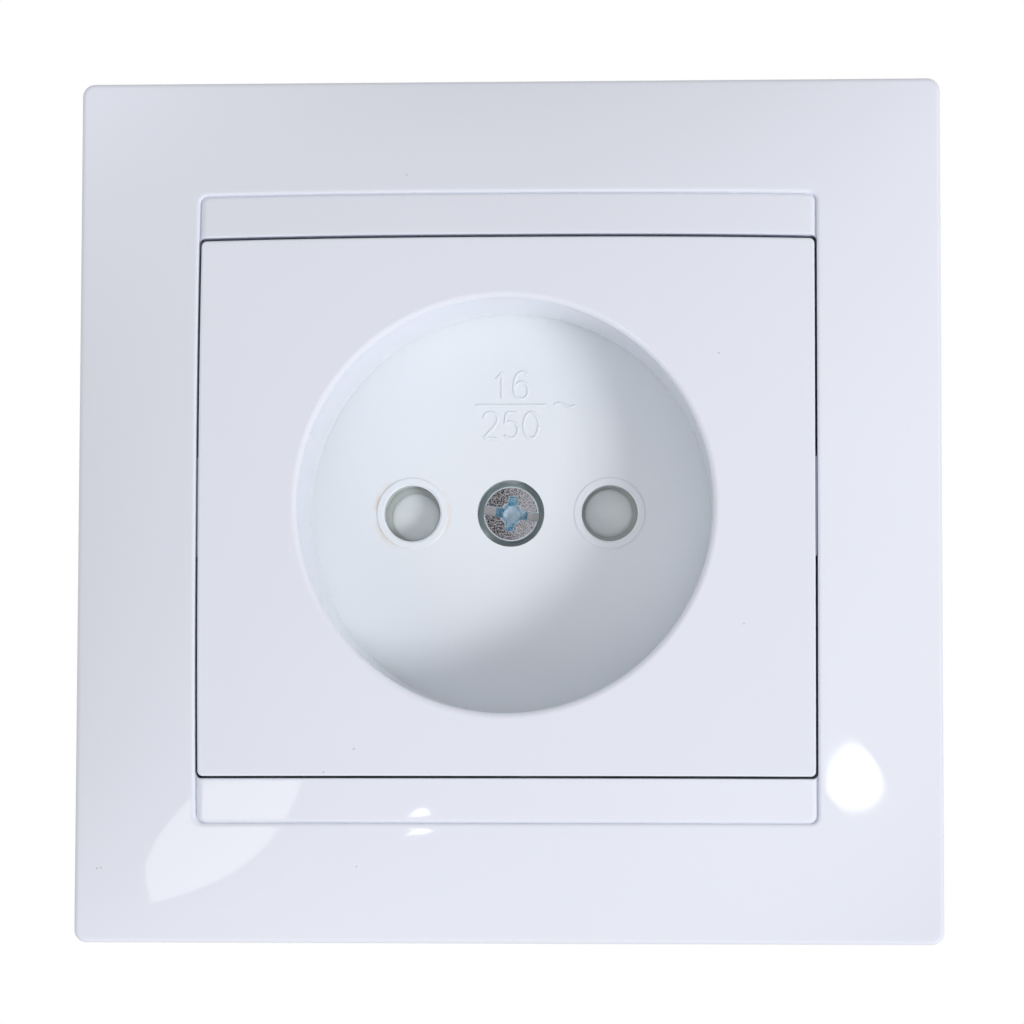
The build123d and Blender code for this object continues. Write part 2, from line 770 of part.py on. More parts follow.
nodes = {
    "cover_frame": make_frame(),
    "centre_plate": make_plate(),
    "centre_screw": make_centre_screw(),
    "shutter": make_shutter(),
    "shutter_spring": make_spring(),
    "support_ring": make_ring(),
    "ring_rivets": make_rivets(),
    "base": make_base(),
    "centre_insert": make_insert(),
    "rear_cover": make_cover(),
    "cover_screws": make_cover_screws(),
}
for word, side in sides.items():
    nodes[word + "_contact"] = make_contact(side)
    nodes[word + "_contact_clip"] = make_clip(side)
    nodes[word + "_clamp_plate"] = make_clamp(side)
    nodes[word + "_terminal_screw"] = make_terminal_screw(side)
    nodes[word + "_claw"] = make_claw(side)
    nodes[word + "_claw_screw"] = make_claw_screw(side)

os.makedirs("parts", exist_ok=True)
for name, shape in nodes.items():
    export_step(shape, "parts/" + name + ".step")
print(len(nodes), "pieces written")
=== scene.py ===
# %% [markdown]
# A flush wall socket, dressed for a studio picture.
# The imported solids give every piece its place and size. This script adds what a maker would call the
# finish: gloss moulded plastic with soft edges, plated steel, a worn screw, raised numbers and dust.
# Lengths are metres in Blender, and millimetres times MM in the text below. X is to the right, Z is
# up, and the front of the socket looks along -Y.

# %% Load the frame
import json
from math import cos, pi, radians, sin, tan

import bmesh
import bpy
import numpy as np
from mathutils import Matrix, Vector


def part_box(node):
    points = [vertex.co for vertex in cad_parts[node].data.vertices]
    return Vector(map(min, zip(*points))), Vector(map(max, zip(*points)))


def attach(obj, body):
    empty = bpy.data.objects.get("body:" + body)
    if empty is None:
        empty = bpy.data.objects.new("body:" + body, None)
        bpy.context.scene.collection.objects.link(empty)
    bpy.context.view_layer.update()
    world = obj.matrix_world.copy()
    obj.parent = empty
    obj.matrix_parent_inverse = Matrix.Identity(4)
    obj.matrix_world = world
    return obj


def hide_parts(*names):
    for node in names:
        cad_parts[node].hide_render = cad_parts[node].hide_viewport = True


MM = 0.001
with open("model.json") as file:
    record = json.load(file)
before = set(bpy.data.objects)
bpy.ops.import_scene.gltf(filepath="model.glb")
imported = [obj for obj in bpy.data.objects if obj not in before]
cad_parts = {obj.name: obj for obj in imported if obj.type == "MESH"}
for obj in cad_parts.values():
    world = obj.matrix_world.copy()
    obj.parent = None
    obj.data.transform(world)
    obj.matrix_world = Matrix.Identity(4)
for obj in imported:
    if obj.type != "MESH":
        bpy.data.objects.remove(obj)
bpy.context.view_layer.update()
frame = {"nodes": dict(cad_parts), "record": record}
nodes = frame["nodes"]

# %% [markdown]
# The camera stands where the photographer stood: a little to the right of the socket and a little
# below it, 407 mm from the highest point of the front. A long lens keeps the square nearly square.
# The distance, the angles and the lens come from the corners, the gaps round the plate, the rim and
# floor of the recess and the pin holes, taken together.

# %% Camera
IMAGE_SIDE = 1024
SENSOR = 36.0
FOCAL_PIXELS = 4358
CAMERA_DISTANCE = 407.0
CAMERA_AZIMUTH = radians(3.307)
CAMERA_ELEVATION = radians(-4.606)
CAMERA_ROLL = radians(0.139)
AIM = Vector((0.798, -13.5, -0.838))


def place_camera():
    """A camera that looks back along a direction given by azimuth and elevation, then rolls."""
    level = cos(CAMERA_ELEVATION)
    back = Vector((sin(CAMERA_AZIMUTH) * level, -cos(CAMERA_AZIMUTH) * level, sin(CAMERA_ELEVATION)))
    right = (-back).cross(Vector((0, 0, 1))).normalized()
    up = right.cross(-back)
    rolled_right = cos(CAMERA_ROLL) * right + sin(CAMERA_ROLL) * up
    rolled_up = cos(CAMERA_ROLL) * up - sin(CAMERA_ROLL) * right
    turn = Matrix((rolled_right, rolled_up, back)).transposed().to_4x4()
    camera = bpy.data.objects.new("camera", bpy.data.cameras.new("camera"))
    camera.matrix_world = Matrix.Translation((AIM + CAMERA_DISTANCE * back) * MM) @ turn
    camera.data.sensor_width = SENSOR
    camera.data.lens = FOCAL_PIXELS / IMAGE_SIDE * SENSOR
    camera.data.clip_start = 10 * MM
    bpy.context.scene.collection.objects.link(camera)
    bpy.context.scene.camera = camera


place_camera()
print("lens in mm", round(bpy.context.scene.camera.data.lens, 1))

# %% [markdown]
# Light on gloss plastic does two jobs. Soft lamps shade the form: the key stands to the lower right,
# where it throws the crescent of shadow into the recess, and two weak, broad fills stand to the lower
# left and above. The rest is reflections, because a gloss surface shows small bright pictures of what
# stands round it. One lamp object could do both, but then its picture in the gloss would be as large
# as the soft lamp. So the shading lamps are kept out of reflections, and cards make the highlights.

# %% Lamps
LAMP_DISTANCE = 1500.0


def toward(right_angle, down_angle):
    """A direction off the front: tangents of its angles to the right and downwards, at unit depth."""
    return Vector((tan(radians(right_angle)), -1.0, -tan(radians(down_angle)))).normalized()


def add_lamp(name, right_angle, down_angle, size, watts):
    """A square lamp that looks at the origin from a direction, left out of reflections."""
    data = bpy.data.lights.new(name, "AREA")
    data.size = size * MM
    data.energy = watts
    lamp = bpy.data.objects.new(name, data)
    way = toward(right_angle, down_angle)
    turn = (-way).to_track_quat("-Z", "Y").to_matrix().to_4x4()
    lamp.matrix_world = Matrix.Translation(way * LAMP_DISTANCE * MM) @ turn
    lamp.visible_glossy = False
    bpy.context.scene.collection.objects.link(lamp)
    return lamp


lamps = [
    add_lamp("key", 46.0, 30.0, 400.0, 10.7),
    add_lamp("lower_fill", -30.0, 40.0, 800.0, 3.6),
    add_lamp("upper_fill", 0.0, -45.0, 800.0, 1.9),
]
print("lamps", [lamp.name for lamp in lamps])

# %% [markdown]
# The world is white where the camera, a reflection or glass looks at it, and a plain pale light on
# everything else. That keeps the background clean without pouring more light on the socket.

# %% World
AMBIENT = 0.43
bpy.context.scene.view_settings.view_transform = "Standard"


def add(tree, kind, inputs=None, **settings):
    """Adds one shader node, with its settings, its input values and its links."""
    node = tree.nodes.new(kind)
    for name, value in settings.items():
        setattr(node, name, value)
    for name, value in (inputs or {}).items():
        socket = node.inputs[name]
        if isinstance(value, bpy.types.NodeSocket):
            tree.links.new(value, socket)
        else:
            socket.default_value = value
    return node


def seen_directly(tree):
    """One where the camera, a reflection or glass looks, and nought for the light on a surface."""
    path = add(tree, "ShaderNodeLightPath")
    camera_or_gloss = add(
        tree,
        "ShaderNodeMath",
        {0: path.outputs["Is Camera Ray"], 1: path.outputs["Is Glossy Ray"]},
        operation="MAXIMUM",
    )
    either = {0: camera_or_gloss.outputs[0], 1: path.outputs["Is Transmission Ray"]}
    return add(tree, "ShaderNodeMath", either, operation="MAXIMUM").outputs[0]


def light_world():
    """White where it is seen, and AMBIENT where it lights."""
    world = bpy.data.worlds.new("studio")
    bpy.context.scene.world = world
    world.use_nodes = True
    tree = world.node_tree
    tree.nodes.clear()
    ends = {"Value": seen_directly(tree), "To Min": AMBIENT, "To Max": 1.0}
    strength = add(tree, "ShaderNodeMapRange", ends)
    white = add(tree, "ShaderNodeBackground", {"Color": (1, 1, 1, 1), "Strength": strength.outputs[0]})
    add(tree, "ShaderNodeOutputWorld", {"Surface": white.outputs[0]})


light_world()

# %% [markdown]
# Cards stand in a plane in front of the socket, each cut to the shape whose reflection in the gloss
# is wanted, and only reflections see them. Following the camera's rays off the pillow-shaped front
# gave the outlines. A thin curved strip turns into an upright oval, because the front is saddle-shaped
# where it is seen. A large dark card behind them is the unlit half of the studio.

# %% Cards for reflections
CARD_Y = -900.0
DARK_CARD_Y = -1200.0
DARK_REACH = 2400
OVAL_STEPS = 12
OVAL_HALF_WIDTH = 6.7
OVAL_START = 353.5
OVAL_END = 506.8
OVAL_Z = -168.291
OVAL_SLOPE = 0.72628
OVAL_BEND = -0.0024


def add_card(name, corners, brightness, y=CARD_Y):
    """A flat card with corners (x, z) in mm and one brightness, seen in reflections alone."""
    material = bpy.data.materials.new(name)
    material.use_nodes = True
    tree = material.node_tree
    tree.nodes.clear()
    glow = add(tree, "ShaderNodeEmission", {"Color": (1, 1, 1, 1), "Strength": brightness})
    add(tree, "ShaderNodeOutputMaterial", {"Surface": glow.outputs[0]})
    mesh = bpy.data.meshes.new(name)
    mesh.from_pydata([(x * MM, y * MM, z * MM) for x, z in corners], [], [tuple(range(len(corners)))])
    mesh.materials.append(material)
    card = bpy.data.objects.new(name, mesh)
    card.visible_camera = False
    card.visible_diffuse = False
    card.visible_transmission = False
    card.visible_shadow = False
    bpy.context.scene.collection.objects.link(card)


def curved_strip():
    """The strip: a parabola in x between two ends, as wide above it as below."""
    x = np.linspace(OVAL_START, OVAL_END, OVAL_STEPS)
    along = x - (OVAL_START + OVAL_END) / 2
    middle = OVAL_Z + OVAL_SLOPE * along + OVAL_BEND * along**2
    above = np.stack([x, middle + OVAL_HALF_WIDTH], axis=-1)
    below = np.stack([x, middle - OVAL_HALF_WIDTH], axis=-1)
    return [*above, *below[::-1]]


SQUARE = [(-1, -1), (1, -1), (1, 1), (-1, 1)]
WINDOW = [(-286, -560), (-286, -303), (-345, -268), (-396, -243), (-450, -240)]
WINDOW += [(-600, -300), (-600, -560)]
UPPER_MARK = [(-135, -470), (-115, -470), (-118, -451), (-128, -450)]
LOWER_MARK = [(-135, -521), (-113, -519), (-112, -502), (-126, -502)]
STREAK = [(-222, -493), (-230, -538), (-223, -563), (-199, -550)]
STREAK += [(-201, -546), (-220, -557), (-226, -538), (-217, -493)]
dark_half = [(x * DARK_REACH, z * DARK_REACH) for x, z in SQUARE]
add_card("dark_card", dark_half, 0.25, DARK_CARD_Y)
add_card("window_card", WINDOW, 2.2)
add_card("oval_card", curved_strip(), 9.0)
add_card("upper_mark_card", UPPER_MARK, 9.0)
add_card("lower_mark_card", LOWER_MARK, 9.0)
add_card("streak_card", STREAK, 1.0)

# %% [markdown]
# Materials. Colours are written the way a paint card would give them, as sRGB hex, and turned into
# the linear numbers that shaders use. Patterns are worked out from real sizes: a noise whose lumps
# are s millimetres wide needs a scale of 1000 / s, because coordinates are in metres.

# %% Colour and scale helpers


def linear(hex_colour):
    """An sRGB hex colour as the linear colour that shaders take."""
    parts = [int(hex_colour[i : i + 2], 16) / 255 for i in (0, 2, 4)]
    parts = [c / 12.92 if c <= 0.04045 else ((c + 0.055) / 1.055) ** 2.4 for c in parts]
    return (*parts, 1.0)


def scale_for(size_mm):
    """The texture scale whose features are size_mm wide."""
    return 1.0 / (size_mm * MM)


def new_material(name, roughness, metallic=0.0, ior=None):
    """A material with its shader's plain values set, its object coordinates, and its node tree."""
    material = bpy.data.materials.new(name)
    material.use_nodes = True
    tree = material.node_tree
    shader = tree.nodes["Principled BSDF"]
    shader.inputs["Roughness"].default_value = roughness
    shader.inputs["Metallic"].default_value = metallic
    if ior:
        shader.inputs["IOR"].default_value = ior
    place = add(tree, "ShaderNodeTexCoord").outputs["Object"]
    return material, tree, shader, place


def noise(tree, place, size_mm, detail=2.0):
    """Smooth random lumps of a real size, from nought to one."""
    return add(tree, "ShaderNodeTexNoise", {"Vector": place, "Scale": scale_for(size_mm), "Detail": detail})


def blend_colours(tree, share, first, second):
    """A colour that runs from first to second with a share."""
    mix = add(tree, "ShaderNodeMix", {"Factor": share}, data_type="RGBA")
    for socket, colour in ((mix.inputs[6], first), (mix.inputs[7], second)):
        if isinstance(colour, bpy.types.NodeSocket):
            tree.links.new(colour, socket)
        else:
            socket.default_value = colour
    return mix.outputs[2]


def spread(tree, value, low, high, to_low=0.0, to_high=1.0):
    """Maps values between low and high onto to_low and to_high, and holds them there outside."""
    sizes = {"Value": value, "From Min": low, "From Max": high, "To Min": to_low, "To Max": to_high}
    return add(tree, "ShaderNodeMapRange", sizes).outputs[0]


def bump(tree, shader, height, depth_mm):
    """Tilts the shading as if the surface rose by depth_mm where height is one."""
    sizes = {"Height": height, "Distance": depth_mm * MM, "Strength": 1.0}
    tree.links.new(add(tree, "ShaderNodeBump", sizes).outputs[0], shader.inputs["Normal"])


# %% Sizes of the front
HALF_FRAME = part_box("cover_frame")[1].x / MM
EDGE_HEIGHT = 6.8
FRONT_RISE = 6.7
FRONT_POWER = 2.5
WALL = 1.8
HALF_WINDOW_X = 29.32
HALF_WINDOW_Z = 25.62
HALF_POCKET_Z = 29.82
OUTER_CORNER = 1.2
INNER_CORNER = 0.3
POCKET_CORNER = 0.75
WINDOW_CORNER = 0.55
SEAT_Y = -3.0

# %% [markdown]
# Gloss moulded ABS. The cover frame and the plate come out of a polished mould: hard, white, a touch
# blue, with reflections that stay crisp. The eye still finds faint waves from uneven cooling, a few
# specks of dust, and a faint brown rim where dirt has settled round the left pin hole. The recess is
# painted a little less blue than the front, a tint that stands for the hue of the light bounced round it,
# and its wells are painted greyer still as painted shade. The plate's crown is flatter than its frame's,
# so a very shallow bump eases the tilt that both share in the solids.

# %% Gloss ABS
ABS_IOR = 1.54
ABS_ROUGHNESS = 0.035
WAVE_WIDTH = 11.0
WAVE_HEIGHT = 0.0016
SPECK_R = 0.09
SPECK_GRAIN = 0.12
SPECK_EDGE = (1.5, 1.1)
SPECKS = [(-10.66, 7.49), (-2.96, 5.18), (5.04, 4.99), (-17.3, 2.0), (16.6, 2.87), (20.1, 14.2)]
SPECKS += [(-38.9, -34.1), (-38.5, -34.05), (-14.1, -22.9), (-14.0, -33.9), (-17.0, -25.1)]
SPECKS += [(-9.5, 31.6), (22.4, -11.2)]
PIN_X = -9.5
COLLAR_R = 3.5
DIRT_INSIDE = (-0.25, 0.02)
DIRT_OUTSIDE = (0.45, 0.05)
DIRT_LEFT = (-1.2, -3.2)
DIRT_RIGHT = (2.8, 3.4)
DIRT_PATCH = 1.1
DUST_SHARE = 0.6
DUST_ROUGHNESS = 0.6
RECESS_Y = (-9, -2)
WELL_Y = (-1.3, -0.5)
PLATE_CROWN_EASED = 0.5


def times(tree, first, second):
    """The product of two values."""
    return add(tree, "ShaderNodeMath", {0: first, 1: second}, operation="MULTIPLY").outputs[0]


def flattened(tree, place, middle):
    """Coordinates in the plane of the wall about a middle (x, z) in mm."""
    moved_place = {0: place, 1: (middle[0] * MM, 0, middle[1] * MM)}
    shifted = add(tree, "ShaderNodeVectorMath", moved_place, operation="SUBTRACT").outputs[0]
    return add(tree, "ShaderNodeVectorMath", {0: shifted, 1: (1, 0, 1)}, operation="MULTIPLY").outputs[0]


def specks(tree, place):
    """Grains of dust: one near any of a few spots, nought elsewhere, by the distance to the nearest."""
    nearest = 1.0
    for spot in SPECKS:
        away = add(tree, "ShaderNodeVectorMath", {0: flattened(tree, place, spot)}, operation="LENGTH")
        inputs = {0: away.outputs["Value"], 1: nearest}
        nearest = add(tree, "ShaderNodeMath", inputs, operation="MINIMUM").outputs[0]
    ragged = noise(tree, place, SPECK_GRAIN).outputs["Fac"]
    edge = add(tree, "ShaderNodeMath", {0: ragged, 1: SPECK_R * MM, 2: nearest}, operation="MULTIPLY_ADD")
    return spread(tree, edge.outputs[0], SPECK_EDGE[0] * SPECK_R * MM, SPECK_EDGE[1] * SPECK_R * MM)


def collar_dirt(tree, place):
    """A broken rim of dirt round the outer edge of the left collar, strongest on its left."""
    flat = flattened(tree, place, (PIN_X, 0.0))
    reach = add(tree, "ShaderNodeVectorMath", {0: flat}, operation="LENGTH").outputs["Value"]
    inner = spread(tree, reach, *((COLLAR_R + step) * MM for step in DIRT_INSIDE))
    outer = spread(tree, reach, *((COLLAR_R + step) * MM for step in DIRT_OUTSIDE))
    across = add(tree, "ShaderNodeSeparateXYZ", {0: flat}).outputs[0]
    left = spread(tree, across, DIRT_LEFT[0] * MM, DIRT_LEFT[1] * MM)
    right = spread(tree, across, DIRT_RIGHT[0] * MM, DIRT_RIGHT[1] * MM, 0.0, 0.7)
    both = add(tree, "ShaderNodeMath", {0: left, 1: right}, operation="ADD").outputs[0]
    broken = spread(tree, noise(tree, place, DIRT_PATCH).outputs["Fac"], 0.36, 0.6)
    return times(tree, times(tree, inner, outer), times(tree, both, broken))


def eased_crown(tree, place, share):
    """Minus a share of the front's height in mm: it eases the tilt of a plate flatter than its frame."""
    parts = add(tree, "ShaderNodeSeparateXYZ", {0: place}).outputs
    falls = []
    for part in (parts[0], parts[2]):
        size = add(tree, "ShaderNodeMath", {0: part}, operation="ABSOLUTE").outputs[0]
        ratio = times(tree, size, 1 / (HALF_FRAME * MM))
        power = add(tree, "ShaderNodeMath", {0: ratio, 1: FRONT_POWER}, operation="POWER").outputs[0]
        falls.append(add(tree, "ShaderNodeMath", {0: 1.0, 1: power}, operation="SUBTRACT").outputs[0])
    return times(tree, times(tree, falls[0], falls[1]), -share * FRONT_RISE)


def gloss_moulded_abs(name, crown_share=0.0, dirt_and_painted_light=False):
    """White ABS from a polished mould."""
    material, tree, shader, place = new_material(name, ABS_ROUGHNESS, ior=ABS_IOR)
    tone = noise(tree, place, 30.0, 1.0).outputs["Fac"]
    colour = blend_colours(tree, tone, linear("ECEFFA"), linear("EFF2FD"))
    dust = specks(tree, place)
    colour = blend_colours(tree, times(tree, dust, DUST_SHARE), colour, linear("83878F"))
    if dirt_and_painted_light:
        depth = add(tree, "ShaderNodeSeparateXYZ", {0: place}).outputs[1]
        # Painted light: the recess gets a less blue tint that stands for the hue of its bounced light.
        painted_recess_tint = spread(tree, depth, RECESS_Y[0] * MM, RECESS_Y[1] * MM)
        # Painted shade: the wells are painted greyer where they lie deep.
        painted_shade_in_wells = spread(tree, depth, WELL_Y[0] * MM, WELL_Y[1] * MM)
        colour = blend_colours(tree, painted_recess_tint, colour, linear("EDF2F8"))
        colour = blend_colours(tree, painted_shade_in_wells, colour, linear("DAE2E2"))
        colour = blend_colours(tree, times(tree, collar_dirt(tree, place), 0.5), colour, linear("E3C9A6"))
    tree.links.new(colour, shader.inputs["Base Color"])
    roughness = spread(tree, dust, 0.0, 1.0, ABS_ROUGHNESS, DUST_ROUGHNESS)
    tree.links.new(roughness, shader.inputs["Roughness"])
    height = times(tree, noise(tree, place, WAVE_WIDTH, 0.0).outputs["Fac"], WAVE_HEIGHT)
    if crown_share:
        crown = eased_crown(tree, place, crown_share)
        height = add(tree, "ShaderNodeMath", {0: height, 1: crown}, operation="ADD").outputs[0]
    bump(tree, shader, height, 1.0)
    return material


frame_abs = gloss_moulded_abs("gloss_moulded_abs_frame")
plate_abs = gloss_moulded_abs("gloss_moulded_abs_plate", PLATE_CROWN_EASED, dirt_and_painted_light=True)
print("plastic", frame_abs.name, plate_abs.name)

# %% [markdown]
# Satin plastics. The shutter is a small grey polycarbonate moulding and the base is a filled thermoset.
# Neither is polished: a fine grain breaks the reflections, so both look soft beside the gloss cover.

# %% Satin plastics
SATIN_IOR = 1.55
CLOUD_RANGE = (0.3, 0.7)


def satin_plastic(name, light, dark, roughness, grain_mm, grain_depth):
    """Unpolished moulding: two close tones in soft clouds, and a fine grain."""
    material, tree, shader, place = new_material(name, roughness, ior=SATIN_IOR)
    clouds = noise(tree, place, 4.0, 3.0).outputs["Fac"]
    colour = blend_colours(tree, spread(tree, clouds, *CLOUD_RANGE), linear(light), linear(dark))
    tree.links.new(colour, shader.inputs["Base Color"])
    bump(tree, shader, noise(tree, place, grain_mm, 2.0).outputs["Fac"], grain_depth)
    return material


shutter_plastic = satin_plastic("satin_polycarbonate", "C9CECD", "BFC5C4", 0.4, 0.5, 0.004)
# The pads' copy of the shutter's polycarbonate is painted lighter, as painted light on the raised pads.
painted_lit_pad_plastic = satin_plastic("satin_polycarbonate_pad_painted_light", "EAEEF0", "DFE4E7", 0.35, 0.5, 0.004)
base_plastic = satin_plastic("satin_filled_thermoset", "D9D8D0", "CFCEC5", 0.5, 0.35, 0.012)
print("satin", shutter_plastic.name, painted_lit_pad_plastic.name, base_plastic.name)

# %% [markdown]
# Metals. The ring, claws and clamps are cold-rolled steel strip with bright zinc: clouded, slightly
# blue, with fine rolling lines. The screws have a blue passivated zinc, the clips are spring steel and
# the contacts are rolled brass. Plating and rolling show as changes of roughness more than of colour.

# %% Sheet metals
LINE_STRETCH = 0.04


def rolled_sheet(name, light, dark, roughness, line_mm, cloud_mm, axis):
    """Rolled metal strip: clouded tone, and fine lines that run along one axis."""
    material, tree, shader, place = new_material(name, roughness, 1.0)
    clouds = noise(tree, place, cloud_mm, 3.0).outputs["Fac"]
    colour = blend_colours(tree, spread(tree, clouds, *CLOUD_RANGE), linear(light), linear(dark))
    tree.links.new(colour, shader.inputs["Base Color"])
    stretch = [1.0, 1.0, 1.0]
    stretch[axis] = LINE_STRETCH
    drawn = add(tree, "ShaderNodeMapping", {"Vector": place, "Scale": stretch}).outputs[0]
    lines = noise(tree, drawn, line_mm, 2.0).outputs["Fac"]
    streaks = spread(tree, lines, *CLOUD_RANGE, roughness - 0.07, roughness + 0.09)
    tree.links.new(streaks, shader.inputs["Roughness"])
    bump(tree, shader, lines, 0.004)
    return material


zinc_sheet = rolled_sheet("bright_zinc_plated_steel", "C9CDD0", "A4A9AE", 0.34, 0.22, 3.0, 0)
brass_sheet = rolled_sheet("rolled_brass", "D8B26A", "BE9448", 0.28, 0.18, 5.0, 1)
spring_sheet = rolled_sheet("blued_spring_steel", "8C9196", "6F757C", 0.3, 0.12, 2.0, 2)
print("sheet metals", zinc_sheet.name, brass_sheet.name, spring_sheet.name)

# %% [markdown]
# The screws are turned or headed from wire, plated with zinc and passivated blue. A driver has rubbed
# the head of the centre screw. Its four flats are dull, pitted and brown-grey, and painted shade darkens
# them towards the left. The edges of the drive and the rim are rubbed bright and painted near white as a
# painted highlight, the floor of the slot is silver at its ends, and the pit in the middle is painted pale
# as a painted highlight. The rest of the drive keeps its blue plating. One value tells all these apart:
# the depth below the head's top face.

# %% Screw finish
HEAD_TOP_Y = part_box("centre_screw")[0].y
ZINC_ROUGHNESS = 0.26
RIM_START = (0.008, 0.03)
RIM_END = (0.2, 0.3)
FLAT_END = (0.03, 0.14)
SLOT_FLOOR_START = (0.42, 0.46)
SLOT_FLOOR_END = (0.52, 0.58)
PIT_START = (0.98, 1.03)


def passivated_zinc(name):
    """Blue zinc plating in soft clouds."""
    material, tree, shader, place = new_material(name, ZINC_ROUGHNESS, 1.0)
    clouds = spread(tree, noise(tree, place, 0.7, 3.0).outputs["Fac"], 0.35, 0.65)
    colour = blend_colours(tree, clouds, linear("B9C6D2"), linear("8FA3B3"))
    tree.links.new(colour, shader.inputs["Base Color"])
    bump(tree, shader, noise(tree, place, 0.3, 2.0).outputs["Fac"], 0.008)
    return material


def beyond(tree, depth, start):
    """Nought above a pair of depths in mm under the head's top face, one below them."""
    return spread(tree, depth, HEAD_TOP_Y + start[0] * MM, HEAD_TOP_Y + start[1] * MM)


def between(tree, depth, start, end):
    """One between two pairs of depths, and nought outside them."""
    closing = spread(tree, depth, HEAD_TOP_Y + end[1] * MM, HEAD_TOP_Y + end[0] * MM)
    return times(tree, beyond(tree, depth, start), closing)


def worn_zinc_painted_light(name):
    """Blue zinc plating: rubbed flats with painted shade to the left, a rubbed rim and a pale pit as
    painted highlights, a silver slot floor.
    """
    material, tree, shader, place = new_material(name, ZINC_ROUGHNESS, 1.0)
    parts = add(tree, "ShaderNodeSeparateXYZ", {0: place}).outputs
    depth = parts[1]
    slot_floor = between(tree, depth, SLOT_FLOOR_START, SLOT_FLOOR_END)
    pit = beyond(tree, depth, PIT_START)
    drive = beyond(tree, depth, FLAT_END)
    rim = between(tree, depth, RIM_START, RIM_END)
    clouds = spread(tree, noise(tree, place, 0.7, 3.0).outputs["Fac"], 0.4, 0.66)
    plating_with_painted_pit = blend_colours(tree, clouds, linear("62A9CC"), linear("D9F0FA"))
    plating_with_painted_pit = blend_colours(tree, slot_floor, plating_with_painted_pit, linear("E4E2E6"))
    # The pit is painted pale, and given less metal below, as a painted highlight.
    plating_with_painted_pit = blend_colours(tree, pit, plating_with_painted_pit, linear("E2F1FC"))
    pits = noise(tree, place, 0.14, 5.0).outputs["Fac"]
    # Painted shade: the rubbed flats grow darker towards the left.
    painted_shade_leftward = spread(tree, parts[0], 0.9 * MM, -0.9 * MM, 0.04, 0.15)
    shade = add(tree, "ShaderNodeMath", {0: pits, 1: painted_shade_leftward}, operation="SUBTRACT").outputs[0]
    rubbed_and_painted_shade = blend_colours(tree, spread(tree, shade, 0.28, 0.5), linear("3D3335"), linear("CDCDD3"))
    worn_and_painted_light = blend_colours(tree, drive, rubbed_and_painted_shade, plating_with_painted_pit)
    # The rim is painted near white: rubbed metal, and a painted highlight on its edges.
    tree.links.new(blend_colours(tree, rim, worn_and_painted_light, linear("F8FCFF")), shader.inputs["Base Color"])
    bare_share = spread(tree, drive, 0.0, 1.0, 0.5, 0.75)
    painted_pit_highlight_share = spread(tree, pit, 0.0, 1.0, 1.0, 0.65)
    tree.links.new(times(tree, bare_share, painted_pit_highlight_share), shader.inputs["Metallic"])
    tree.links.new(spread(tree, drive, 0.0, 1.0, 0.42, 0.2), shader.inputs["Roughness"])
    pit_height = times(tree, pits, spread(tree, drive, 0.0, 1.0, 1.0, 0.25))
    bump(tree, shader, pit_height, 0.05)
    return material


plated_screw = passivated_zinc("blue_passivated_zinc")
worn_screw_painted_light = worn_zinc_painted_light("worn_blue_zinc_painted_light")
print("head of the centre screw at y in mm", round(HEAD_TOP_Y / MM, 2))

# %% Finishes on the carried-over solids
finishes = {
    "white_plastic": plate_abs,
    "shutter_plastic": shutter_plastic,
    "base_plastic": base_plastic,
    "zinc_steel": zinc_sheet,
    "screw_zinc": plated_screw,
    "spring_steel": spring_sheet,
    "contact_brass": brass_sheet,
}
for part in frame["record"]["subparts"]:
    nodes[part["node"]].material_slots[0].material = finishes[part["material_slot"]]
print("finished", len(nodes), "nodes")

# %% [markdown]
# New pieces are grids of points. A shell is a grid that closes on itself, or two grids joined along
# their borders. Every shell goes through one function that puts the arrays into a mesh, welds seams
# and poles, turns the faces outwards, and shades it smooth except across real corners.

# %% Grids to meshes
CORNER_ANGLE = radians(38)
WELD = 0.0004 * MM


def grid_faces(rows, columns, close_rows=False, close_columns=False):
    """Four-sided faces over points numbered row by row. A closed direction wraps round."""
    row = np.arange(rows if close_rows else rows - 1)
    column = np.arange(columns if close_columns else columns - 1)
    row, column = (part.ravel() for part in np.meshgrid(row, column, indexing="ij"))
    next_row = (row + 1) % rows
    next_column = (column + 1) % columns
    corners = (row, column), (row, next_column), (next_row, next_column), (next_row, column)
    return np.stack([r * columns + c for r, c in corners], axis=-1)


def wrapped(points, close_rows=False, close_columns=False):
    """A shell from one grid of points, as its points and faces."""
    rows, columns = points.shape[:2]
    return points.reshape(-1, 3), grid_faces(rows, columns, close_rows, close_columns)


def thick(top, bottom):
    """A closed shell between two grids of the same size, joined along their borders."""
    rows, columns = top.shape[:2]
    count = rows * columns
    inside = grid_faces(rows, columns)
    number = np.arange(count).reshape(rows, columns)
    border = np.concatenate([number[0, :-1], number[:-1, -1], number[-1, :0:-1], number[:0:-1, 0]])
    following = np.roll(border, -1)
    sides = np.stack([border, border + count, following + count, following], axis=-1)
    points = np.concatenate([top.reshape(-1, 3), bottom.reshape(-1, 3)])
    return points, np.concatenate([inside, inside[:, ::-1] + count, sides])


